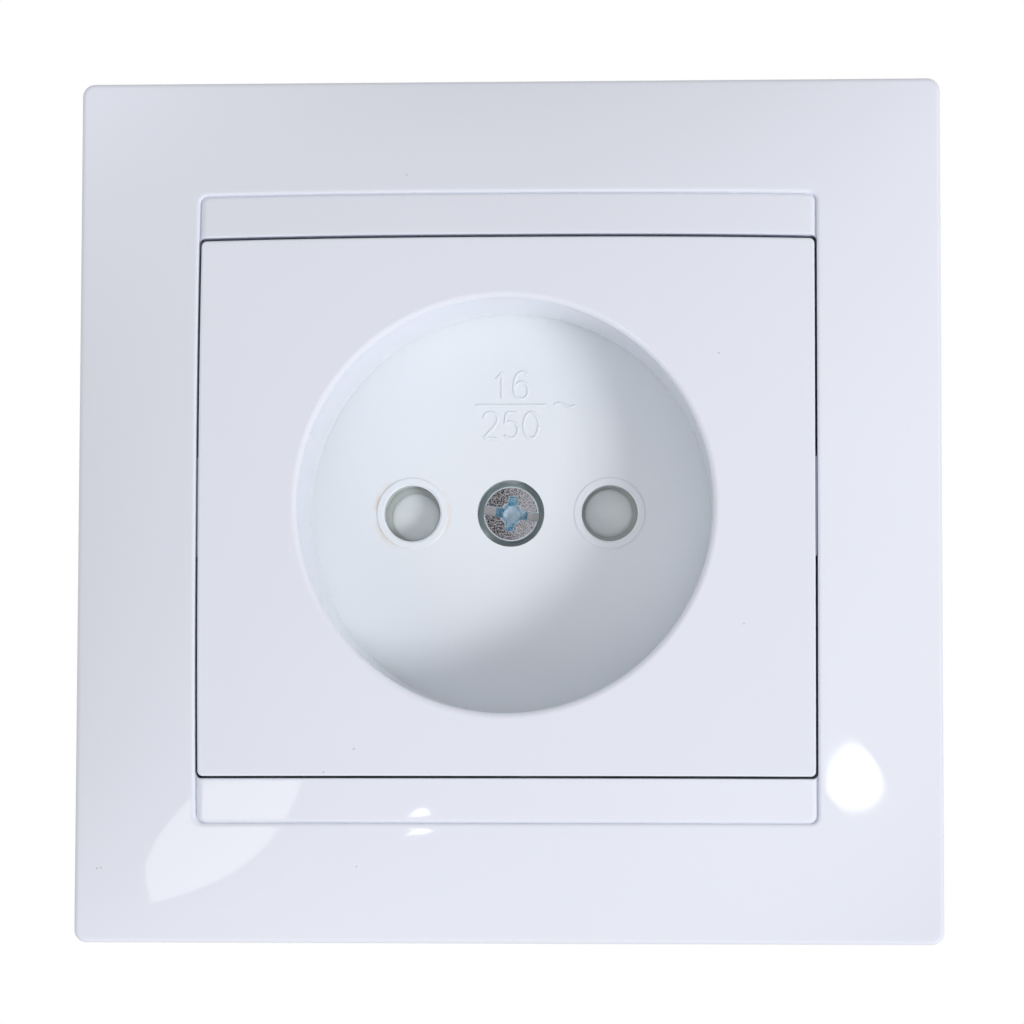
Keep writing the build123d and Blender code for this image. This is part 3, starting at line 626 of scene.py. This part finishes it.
def build(name, shells, body, material, replaced):
    """One object from several closed shells, given in millimetres."""
    start = 0
    points = []
    faces = []
    for shell_points, shell_faces in shells:
        points.append(shell_points)
        faces.append(shell_faces + start)
        start += len(shell_points)
    points = np.concatenate(points) * MM
    faces = np.concatenate(faces)
    mesh = bpy.data.meshes.new(name)
    mesh.vertices.add(len(points))
    mesh.vertices.foreach_set("co", points.ravel())
    mesh.loops.add(faces.size)
    mesh.loops.foreach_set("vertex_index", faces.ravel().astype(np.int32))
    mesh.polygons.add(len(faces))
    mesh.polygons.foreach_set("loop_start", np.arange(0, faces.size, 4, dtype=np.int32))
    mesh.update(calc_edges=True)
    shape = bmesh.new()
    shape.from_mesh(mesh)
    bmesh.ops.remove_doubles(shape, verts=shape.verts, dist=WELD)
    bmesh.ops.dissolve_degenerate(shape, edges=shape.edges, dist=WELD)
    bmesh.ops.recalc_face_normals(shape, faces=shape.faces)
    open_edges = sum(not edge.is_manifold for edge in shape.edges)
    shape.to_mesh(mesh)
    shape.free()
    mesh.polygons.foreach_set("use_smooth", np.ones(len(mesh.polygons), dtype=bool))
    mesh.set_sharp_from_angle(angle=CORNER_ANGLE)
    piece = bpy.data.objects.new(name, mesh)
    bpy.context.scene.collection.objects.link(piece)
    mesh.materials.append(material)
    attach(piece, body)
    if replaced:
        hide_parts(*replaced)
    print(name, len(mesh.polygons), "faces,", open_edges, "open edges")


# %% [markdown]
# The cover frame. It is one moulding: a pillow-shaped square band with a rounded outer edge, a soft
# lip round its pocket, and two strips that lie a little lower, each in a shallow groove. The solid has
# the right form with small fillets. Here the band is a profile carried round two rounded rectangles,
# so that lip and groove get the widths of the real ones, and the highlights run over them unbroken.

# %% The front


def front_height(x, z):
    """Height of the pillow above the wall: one minus a power of the distance across, times the same up."""
    across = 1 - np.abs(np.asarray(x) / HALF_FRAME) ** FRONT_POWER
    upright = 1 - np.abs(np.asarray(z) / HALF_FRAME) ** FRONT_POWER
    return EDGE_HEIGHT + FRONT_RISE * across * upright


def on_front(flat, drop=0.0):
    """Points (x, z) lifted onto the front, set back by drop."""
    x = flat[..., 0]
    z = flat[..., 1]
    return np.stack([x, drop - front_height(x, z), z], axis=-1)


def at_level(flat, y):
    """Points (x, z) at one depth, or at a depth for each."""
    return np.stack([flat[..., 0], np.broadcast_to(y, flat.shape[:-1]), flat[..., 1]], axis=-1)


print("height of the front at the middle and at the rim of the pocket, mm")
print(float(front_height(0, 0)), float(np.round(front_height(HALF_WINDOW_X, 0), 2)))

# %% [markdown]
# An outline is walked corner by corner: a quarter circle, then a straight run to the next corner. The
# outer and the inner outline have the same number of points, so that a profile can join them.

# %% Rounded outlines
SIDE_POINTS = 84
ARC_POINTS = 9


def rounded_outline(half_x, half_z, corner):
    """Points round a rectangle with round corners, and the outward direction at each of them."""
    arc = np.linspace(0, pi / 2, ARC_POINTS)
    share = np.linspace(0, 1, SIDE_POINTS + 2)[1:-1, None]
    signs = ((1, 1), (-1, 1), (-1, -1), (1, -1))
    centres = [np.array([a * (half_x - corner), b * (half_z - corner)]) for a, b in signs]
    turns = [arc + quarter * pi / 2 for quarter in range(4)]
    rims = [np.stack([np.cos(turn), np.sin(turn)], axis=-1) for turn in turns]
    points = []
    outward = []
    for quarter in range(4):
        here = centres[quarter] + corner * rims[quarter]
        following = centres[(quarter + 1) % 4] + corner * rims[(quarter + 1) % 4]
        points += [here, here[-1] + share * (following[0] - here[-1])]
        outward += [rims[quarter], np.repeat(rims[quarter][-1:], SIDE_POINTS, axis=0)]
    return np.concatenate(points), np.concatenate(outward)


outer, outer_out = rounded_outline(HALF_FRAME, HALF_FRAME, OUTER_CORNER)
pocket, pocket_out = rounded_outline(HALF_WINDOW_X, HALF_POCKET_Z, POCKET_CORNER)
print("points in each outline", len(outer))

# %% The band's profile
EDGE_ROUNDING = 0.45
LIP_WIDTH = 0.36
LIP_DEPTH = 0.34
LIP_STEPS = 9
BAND_STEPS = 44
UNDER_STEPS = 10


def band_shell():
    """The closed profile, from the pocket's wall over lip, band and edge, and back under the skin."""
    beside_window = np.abs(pocket_out[:, 0]) > np.abs(pocket_out[:, 1])
    under_lip = pocket + WALL * pocket_out
    under_edge = rounded_outline(HALF_FRAME - WALL, HALF_FRAME - WALL, INNER_CORNER)[0]
    skin = -front_height(pocket[:, 0], pocket[:, 1]) + WALL
    foot = np.where(beside_window, SEAT_Y, skin)
    rows = [at_level(pocket, foot)]
    for angle in np.linspace(0, pi / 2, LIP_STEPS)[:-1]:
        offset = LIP_WIDTH * (1 - cos(angle))
        rows.append(on_front(pocket + offset * pocket_out, LIP_DEPTH * (1 - sin(angle))))
    start = pocket + LIP_WIDTH * pocket_out
    end = outer - EDGE_ROUNDING * outer_out
    rows += [on_front(start + share * (end - start)) for share in np.linspace(0, 1, BAND_STEPS)]
    for angle in np.linspace(0, pi / 2, LIP_STEPS)[1:]:
        offset = EDGE_ROUNDING * (1 - sin(angle))
        rows.append(on_front(outer - offset * outer_out, EDGE_ROUNDING * (1 - cos(angle))))
    rows += [at_level(outer, -EDGE_HEIGHT / 2), at_level(outer, 0.0), at_level(under_edge, 0.0)]
    shares = np.linspace(0, 1, UNDER_STEPS)
    rows += [on_front(under_edge + share * (under_lip - under_edge), WALL) for share in shares]
    rows.append(at_level(under_lip, np.where(beside_window, SEAT_Y, skin)))
    return wrapped(np.stack(rows), True, True)


band = band_shell()
print("band", len(band[1]), "faces")

# %% [markdown]
# Each strip is a grid over its length and height. Its surface follows the pillow a little lower, and
# drops further into the groove at both ends and along its outer side, over a wide slope at the ends
# and a narrow one along the side. The grid is close where the edges are round and wide elsewhere.

# %% Strips
STRIP_DROP = 0.12
GROOVE_GAP = 0.12
END_SLOPE = 0.6
END_DEPTH = 0.2
SIDE_SLOPE = 0.28
SUNK = 0.4
TOP_SLACK = 0.1
PLATE_EDGE_DROP = 0.16
PLATE_EDGE_WIDTH = 0.2
CLOSE_REACH = 2.4
CLOSE_STEPS = 34
WIDE_STEPS = 60
UP_STEPS = 72


def rounded_drop(inward, low, high, width):
    """How far an edge has dropped at a distance inward of its foot: a quarter ellipse, high to low."""
    share = np.clip(inward / width, 0, 1)
    return low + (high - low) * (1 - np.sqrt(1 - (1 - share) ** 2))


def groove_drop(x, z):
    """How far the strip's outline has dropped into the groove: over a wide slope at the ends."""
    corner = POCKET_CORNER
    over_x = np.maximum(np.abs(x) - (HALF_WINDOW_X - GROOVE_GAP - corner), 0)
    over_z = np.maximum(np.abs(z) - (HALF_POCKET_Z - GROOVE_GAP - corner), 0)
    reach = np.hypot(over_x, over_z)
    at_end = over_x / np.maximum(over_x + over_z, 1e-6)
    slope = SIDE_SLOPE + (END_SLOPE - SIDE_SLOPE) * at_end
    return rounded_drop(corner - reach, STRIP_DROP, LIP_DEPTH + END_DEPTH * at_end, slope)


def strip_shell(side):
    """One strip, with the wall that faces the plate below it."""
    end = HALF_WINDOW_X + SUNK
    close = np.linspace(end - CLOSE_REACH, end, CLOSE_STEPS)
    wide = np.linspace(-close[0], close[0], WIDE_STEPS)[1:-1]
    x = np.concatenate([-close[::-1], wide, close])
    up = np.linspace(0, 1, UP_STEPS)
    x, up = np.meshgrid(x, up, indexing="ij")
    across = np.clip(np.abs(x) - (HALF_WINDOW_X - WINDOW_CORNER), 0, WINDOW_CORNER)
    window = HALF_WINDOW_Z + max(side, 0) * TOP_SLACK
    low = window - WINDOW_CORNER + np.sqrt(WINDOW_CORNER**2 - across**2)
    z = low + up * (HALF_POCKET_Z + SUNK - low)
    drop = groove_drop(x, z) + rounded_drop(z - low, 0.0, PLATE_EDGE_DROP, PLATE_EDGE_WIDTH)
    flat = np.stack([x, side * z], axis=-1)
    wall = z < HALF_WINDOW_Z + WALL
    under = np.where(wall, SEAT_Y, WALL - front_height(x, z))
    return thick(on_front(flat, drop), at_level(flat, under))


strips = [strip_shell(side) for side in (-1, 1)]
print("strip", len(strips[0][1]), "faces")

# %% Ribs and ledges behind the frame
RIB_THICKNESS = 1.0
RIB_PITCH = 18.0
RIB_BACK_Y = -3.4
LEDGE_REACH = 2.2
LEDGE_THICKNESS = 1.6
LEDGE_INNER_Z = 7.0
LEDGE_OUTER_Z = 20.0
GRID_POINTS = 6


def bar(x0, x1, z0, z1, back_y, front_y=None):
    """A straight bar between two levels. With no front level it runs up into the skin."""
    x = np.linspace(x0, x1, GRID_POINTS)
    z = np.linspace(z0, z1, GRID_POINTS)
    flat = np.stack(np.meshgrid(x, z, indexing="ij"), axis=-1)
    top = on_front(flat, WALL / 2) if front_y is None else at_level(flat, front_y)
    return thick(top, at_level(flat, back_y))


def frame_bars():
    """Twelve ribs between the outer wall and the pocket's wall, and four ledges for the plate."""
    shells = []
    outer_end = HALF_FRAME - WALL / 2
    for side in (-1, 1):
        beside = side * (HALF_WINDOW_X + WALL / 2)
        above = side * (HALF_WINDOW_Z + WALL / 2)
        for step in (-1, 0, 1):
            near = step * RIB_PITCH - RIB_THICKNESS / 2
            far = near + RIB_THICKNESS
            shells.append(bar(beside, side * outer_end, near, far, RIB_BACK_Y))
            shells.append(bar(near, far, above, side * outer_end, RIB_BACK_Y))
        for level in (-1, 1):
            inner = side * (HALF_WINDOW_X - LEDGE_REACH)
            low = level * LEDGE_INNER_Z
            high = level * LEDGE_OUTER_Z
            shells.append(bar(inner, beside, low, high, SEAT_Y + LEDGE_THICKNESS, SEAT_Y))
    return shells


build(
    "moulded_cover_frame",
    [band, *strips, *frame_bars()],
    "socket",
    frame_abs,
    ["cover_frame"],
)

# %% [markdown]
# Raised numbers. A mark on moulded plastic is cut into the mould, so it stands up from the floor of
# the recess with soft, round strokes. Each stroke is a flattened tube along a smooth line through a
# few points, half sunk in the floor. A font would give flat faces and sharp corners.

# %% Strokes
FLOOR_Y = -1.5
STROKE_WIDTH = 0.3
STROKE_HEIGHT = 0.12
STROKE_TURNS = 12
DIGIT_WIDTH = 1.8
DIGIT_PITCH = 1.95
UPPER_FOOT_Z = 11.05
UPPER_HEIGHT = 2.6
LOWER_FOOT_Z = 7.24
LOWER_HEIGHT = 2.5
BAR_Z = 10.42
BAR_HALF = 3.47
TILDE_X = 4.1
TILDE_LENGTH = 2.1
TILDE_RISE = 0.18


def smooth_line(points, steps=14):
    """A line through every point whose direction at a point is that between its neighbours."""
    points = np.asarray(points, dtype=float)
    ends = np.concatenate([[2 * points[0] - points[1]], points, [2 * points[-1] - points[-2]]])
    share = np.linspace(0, 1, steps, endpoint=False)[None, :, None]
    before, here, there, after = (ends[i : len(ends) - 3 + i, None, :] for i in range(4))
    curve = 2 * here + (there - before) * share
    curve = curve + (2 * before - 5 * here + 4 * there - after) * share**2
    curve = curve + (3 * here - before - 3 * there + after) * share**3
    return np.concatenate([curve.reshape(-1, 2) / 2, points[-1:]])


def stroke_shell(line):
    """A flattened tube along a line in the floor: an ellipse across it, drawn in to a point at its ends."""
    along = np.gradient(line, axis=0)
    along /= np.linalg.norm(along, axis=1, keepdims=True)
    side = np.stack([-along[:, 1], along[:, 0]], axis=-1)
    steps = np.linalg.norm(np.diff(line, axis=0), axis=1)
    run = np.concatenate([[0], np.cumsum(steps)])
    to_end = np.minimum(run, run[-1] - run) / (STROKE_WIDTH / 2)
    full = np.sqrt(1 - (1 - np.clip(to_end, 0, 1)) ** 2)
    turn = np.linspace(0, 2 * pi, STROKE_TURNS, endpoint=False)
    across = full[:, None] * np.cos(turn) * STROKE_WIDTH / 2
    rise = full[:, None] * np.sin(turn) * STROKE_HEIGHT
    flat = line[:, None, :] + across[..., None] * side[:, None, :]
    return wrapped(at_level(flat, FLOOR_Y - rise), close_columns=True)


ROUND = [(cos(a), sin(a)) for a in np.linspace(0, 2 * pi, 17)]
DIGITS = {
    "0": [[(0.5 + 0.4 * c, 0.5 + 0.5 * s) for c, s in ROUND]],
    "1": [[(0.22, 0.72), (0.4, 0.84), (0.56, 1.0)], [(0.56, 1.0), (0.56, 0.5), (0.56, 0.0)]],
    "2": [
        [(0.12, 0.74), (0.22, 0.93), (0.5, 1.0), (0.8, 0.91), (0.86, 0.7)]
        + [(0.7, 0.45), (0.4, 0.22), (0.12, 0.0)],
        [(0.12, 0.0), (0.5, 0.0), (0.9, 0.0)],
    ],
    "5": [
        [(0.82, 1.0), (0.54, 1.0), (0.26, 1.0)],
        [(0.26, 1.0), (0.21, 0.76), (0.16, 0.53)],
        [(0.16, 0.53), (0.4, 0.63), (0.72, 0.58), (0.88, 0.34), (0.76, 0.08), (0.45, 0.0), (0.12, 0.13)],
    ],
    "6": [
        [(0.86, 0.84), (0.72, 0.97), (0.5, 1.0), (0.25, 0.86), (0.12, 0.55), (0.12, 0.32), (0.24, 0.08)]
        + [(0.5, 0.0), (0.78, 0.09), (0.88, 0.31), (0.77, 0.54), (0.5, 0.63), (0.25, 0.54), (0.13, 0.36)]
    ],
}


def number_shells(word, foot_z, height):
    """The strokes of a row of digits, centred across the recess."""
    shells = []
    start = -(DIGIT_PITCH * (len(word) - 1) + DIGIT_WIDTH) / 2
    for place, digit in enumerate(word):
        corner = np.array([start + place * DIGIT_PITCH, foot_z])
        for points in DIGITS[digit]:
            shells.append(stroke_shell(smooth_line(corner + np.array(points) * (DIGIT_WIDTH, height))))
    return shells


shares = np.linspace(0, 1, 9)
tilde = [(TILDE_X + TILDE_LENGTH * t, BAR_Z + TILDE_RISE * sin(2 * pi * t)) for t in shares]
straight = smooth_line([(-BAR_HALF, BAR_Z), (0, BAR_Z), (BAR_HALF, BAR_Z)], 40)
marks = [stroke_shell(straight), stroke_shell(smooth_line(tilde))]
marks += number_shells("16", UPPER_FOOT_Z, UPPER_HEIGHT)
marks += number_shells("250", LOWER_FOOT_Z, LOWER_HEIGHT)
build("raised_numbers", marks, "socket", plate_abs, [])

# %% [markdown]
# Shutter pads. Each blade of the shutter carries a round pad over its dimple, which a plug pin pushes
# on. The pad is a low dome with a round edge, and it turns with the shutter. Its plastic is painted lighter
# than the blade's, as painted light on the raised pads.

# %% Shutter pads
PAD_R = 2.32
PAD_TOP_Y = 0.6
PAD_FALL = 0.16
PAD_FOOT_Y = 1.2
PAD_REACH = 9.3
PAD_ANGLE = radians(1.3)
PAD_POWER = 6
PAD_STEPS = 16
PAD_TURNS = 72


def pad_shell(side):
    """A low dome on one side of the shutter's axle."""
    reach = np.linspace(0, 1, PAD_STEPS)
    levels = PAD_TOP_Y + PAD_FALL * (1 - np.sqrt(1 - reach**PAD_POWER))
    turn = np.linspace(0, 2 * pi, PAD_TURNS, endpoint=False)
    circle = np.stack([np.cos(turn), np.sin(turn)], axis=-1)
    middle = side * PAD_REACH * np.array([cos(PAD_ANGLE), sin(PAD_ANGLE)])
    distances = [*(PAD_R * reach), PAD_R, 0.0]
    depths = [*levels, PAD_FOOT_Y, PAD_FOOT_Y]
    rows = [at_level(middle + r * circle, y) for r, y in zip(distances, depths)]
    return wrapped(np.stack(rows), close_columns=True)


pads = [pad_shell(side) for side in (-1, 1)]
build("shutter_pads", pads, "shutter", painted_lit_pad_plastic, [])

# %% [markdown]
# Screws. The head of a screw is a height map on a round grid: a flat top with a rounded rim, less the
# deepest of a slot, a cross and a central cone. The shank is a surface whose radius rises and falls
# along a helix, which gives a real thread at little cost. The solids have plain shanks.

# %% Screw shapes
THREAD_PITCH = 0.5
THREAD_DEPTH = 0.27
EDGE_SOFTNESS = 0.07
RIM_STEPS = 9
LEAST_HEAD = 0.05
STEPS_A_TURN = 9
POINTS_ROUND = 40
NECK_START = 0.1
NECK_LENGTH = 0.5
TIP_LENGTH = 0.6
TIP_FALL = 0.4


def ramp(distance, width):
    """Nought below zero, one beyond width, and a smooth rise between."""
    share = np.clip(distance / width, 0, 1)
    return share * share * (3 - 2 * share)


def head_shell(radius, height, rounding, drive, turns, rings):
    """A screw head that faces the front with its seat at y = 0; drive gives the depth at (across, up)."""
    flat = radius - rounding
    turned = radius - rounding * (1 - np.sin(np.linspace(0, pi / 2, RIM_STEPS)[1:]))
    distance = np.concatenate([np.linspace(0, flat, rings), turned])
    fall = rounding * (1 - np.sqrt(1 - np.clip((distance - flat) / rounding, 0, 1) ** 2))
    angle = np.linspace(0, 2 * pi, turns, endpoint=False)
    x = distance[:, None] * np.cos(angle)
    z = distance[:, None] * np.sin(angle)
    top = -height + np.maximum(fall[:, None], drive(x, z))
    rim = np.stack([radius * np.cos(angle), np.sin(angle) * radius], axis=-1)
    face = np.stack([x, np.minimum(top, -LEAST_HEAD), z], axis=-1)
    rows = [face, at_level(rim, 0.0)[None], at_level(rim * 0, 0.0)[None]]
    return wrapped(np.concatenate(rows), close_columns=True)


def shank_shell(radius, length, start=-0.4):
    """A threaded shank: the radius dips with the distance from the helix's crest, and the tip tapers."""
    rows = int((length - start) / THREAD_PITCH * STEPS_A_TURN)
    along = np.linspace(start, length, rows)[:, None]
    angle = np.linspace(0, 2 * pi, POINTS_ROUND, endpoint=False)
    phase = (along / THREAD_PITCH - angle / (2 * pi)) % 1.0
    dip = THREAD_DEPTH * ramp(np.abs(phase - 0.5) * 2, 0.8)
    taper = np.clip((length - along) / TIP_LENGTH, 0, 1)
    neck = ramp(along - NECK_START, NECK_LENGTH)
    distance = radius - neck * dip - TIP_FALL * (1 - taper)
    flat = np.stack([distance * np.cos(angle), distance * np.sin(angle)], axis=-1)
    points = at_level(flat, along)
    first = points[:1] * (0, 1, 0)
    last = points[-1:] * (0, 1, 0)
    return wrapped(np.concatenate([first, points, last]), close_columns=True)


def moved(shell, x, y):
    """A shell shifted in millimetres."""
    return shell[0] + (x, y, 0.0), shell[1]


# %% [markdown]
# The centre screw has a combined drive: a slot right across that is deeper near the middle, a shorter
# cross arm whose floor slopes down inwards, and an eight-sided pit in a bowl where they meet. It was
# left turned eight degrees clockwise.

# %% Centre screw
HEAD_R = 2.68
HEAD_HEIGHT = 1.6
HEAD_ROUNDING = 0.24
DRIVE_TURN = radians(-8)
SCREW_R = 1.5
SCREW_LENGTH = 16.0
SHANK_START = -0.03
HEAD_TURNS = 320
HEAD_RINGS = 84
SLOT_HALF = 0.46
SLOT_DEPTH = 0.5
SLOT_FLARE = 0.12
SLOT_FLARE_REACH = 1.5
STEP_INSET = 0.16
STEP_DEPTH = 0.45
STEP_REACH = 1.6
STEP_RUN = 0.25
ARM_HALF = 0.44
ARM_REACH = 1.72
ARM_FLARE = 0.1
ARM_FLARE_REACH = 1.4
FLARE_RUN = 0.8
ARM_DEPTH = 0.55
ARM_SLOPE = 0.5
ARM_SLOPE_REACH = 1.7
BOWL_R = 1.12
BOWL_DEPTH = 0.95
BOWL_RUN = 0.45
PIT_R = 0.85
PIT_DEPTH = 0.6


def combined_drive(x, z):
    """Depth of the slot, the sloping cross arm and the pit, whichever is deepest."""
    along = x * cos(DRIVE_TURN) + z * sin(DRIVE_TURN)
    up = z * cos(DRIVE_TURN) - x * sin(DRIVE_TURN)
    from_middle = np.hypot(along, up)
    soft = 2 * EDGE_SOFTNESS
    slot_half = SLOT_HALF + SLOT_FLARE * ramp(SLOT_FLARE_REACH - np.abs(along), FLARE_RUN)
    step_reach = ramp(STEP_REACH - np.abs(along), STEP_RUN)
    slot = SLOT_DEPTH * ramp(slot_half - np.abs(up), soft)
    slot = slot + STEP_DEPTH * ramp(slot_half - STEP_INSET - np.abs(up), EDGE_SOFTNESS) * step_reach
    arm_half = ARM_HALF + ARM_FLARE * ramp(ARM_FLARE_REACH - np.abs(up), FLARE_RUN)
    arm_floor = ARM_DEPTH + ARM_SLOPE * np.clip(ARM_SLOPE_REACH - np.abs(up), 0, 1)
    arm = ramp(ARM_REACH - np.abs(up), soft) * ramp(arm_half - np.abs(along), soft) * arm_floor
    bowl = BOWL_DEPTH * ramp(BOWL_R - from_middle, BOWL_RUN)
    eight = np.cos((np.arctan2(up, along) % (pi / 4)) - pi / 8)
    pit = PIT_DEPTH * np.clip(1 - from_middle * eight / PIT_R, 0, 1)
    return np.maximum(np.maximum(slot, arm), bowl) + pit


seat_y = HEAD_TOP_Y / MM + HEAD_HEIGHT
head = head_shell(HEAD_R, HEAD_HEIGHT, HEAD_ROUNDING, combined_drive, HEAD_TURNS, HEAD_RINGS)
shank = shank_shell(SCREW_R, SCREW_LENGTH, SHANK_START)
centre = [moved(shell, 0, seat_y) for shell in (head, shank)]
build("centre_screw_worn", centre, "socket", worn_screw_painted_light, ["centre_screw"])

# %% [markdown]
# The two claw screws are long machine screws whose threads show behind the ring. They draw the claws
# forward to grip the sides of the wall box.

# %% Claw screws
CLAW_HEAD_R = 2.5
CLAW_HEAD_HEIGHT = 1.8
CLAW_ROUNDING = 0.7
CLAW_LENGTH = 18.0
CLAW_SEAT_Y = -1.0
CLAW_DRIVE_HALF = 0.43
CLAW_ARM_REACH = 1.64
CLAW_DRIVE_DEPTH = 0.9
CLAW_TURNS = 160
CLAW_RINGS = 40


def cross_and_slot(x, z):
    """A slot right across and a cross arm of the same width."""
    slot = ramp(CLAW_DRIVE_HALF - np.abs(z), EDGE_SOFTNESS)
    reach = ramp(CLAW_ARM_REACH - np.abs(z), EDGE_SOFTNESS)
    arm = ramp(CLAW_DRIVE_HALF - np.abs(x), EDGE_SOFTNESS) * reach
    return CLAW_DRIVE_DEPTH * np.maximum(slot, arm)


claw_sizes = (CLAW_HEAD_R, CLAW_HEAD_HEIGHT, CLAW_ROUNDING)
claw_head = head_shell(*claw_sizes, cross_and_slot, CLAW_TURNS, CLAW_RINGS)
claw_shank = shank_shell(SCREW_R, CLAW_LENGTH)
for word in ("left", "right"):
    low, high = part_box(word + "_claw_screw")
    middle_x = (low.x + high.x) / 2 / MM
    shells = [moved(shell, middle_x, CLAW_SEAT_Y) for shell in (claw_head, claw_shank)]
    replaced = [word + "_claw_screw"]
    build(word + "_claw_screw_threaded", shells, "socket", plated_screw, replaced)

# %% [markdown]
# The floor is plain and pale, and lies well below the socket, which hangs on a wall. Half of what the
# camera sees of it is plain white, so that it stays light and still keeps the socket's shadow.

# %% Floor
FLOOR_Z = -1350.0
FLOOR_SIDE = 8000.0
WHITE_SHARE = 0.5


def pale_floor():
    """A matt white board that shows half its own shading and half plain white."""
    material, tree, shader, place = new_material("matt_white_board", 0.8)
    grain = noise(tree, place, 3.0).outputs["Fac"]
    colour = blend_colours(tree, grain, linear("F2F2F2"), linear("F7F7F7"))
    tree.links.new(colour, shader.inputs["Base Color"])
    white = add(tree, "ShaderNodeEmission", {"Color": (1, 1, 1, 1), "Strength": 1.0})
    share = times(tree, seen_directly(tree), WHITE_SHARE)
    mixed = add(tree, "ShaderNodeMixShader", {0: share, 1: shader.outputs[0], 2: white.outputs[0]})
    tree.links.new(mixed.outputs[0], tree.nodes["Material Output"].inputs["Surface"])
    return material


bpy.ops.mesh.primitive_plane_add(size=FLOOR_SIDE * MM, location=(0, 0, FLOOR_Z * MM))
floor = bpy.context.object
floor.name = "floor"
floor.data.materials.append(pale_floor())
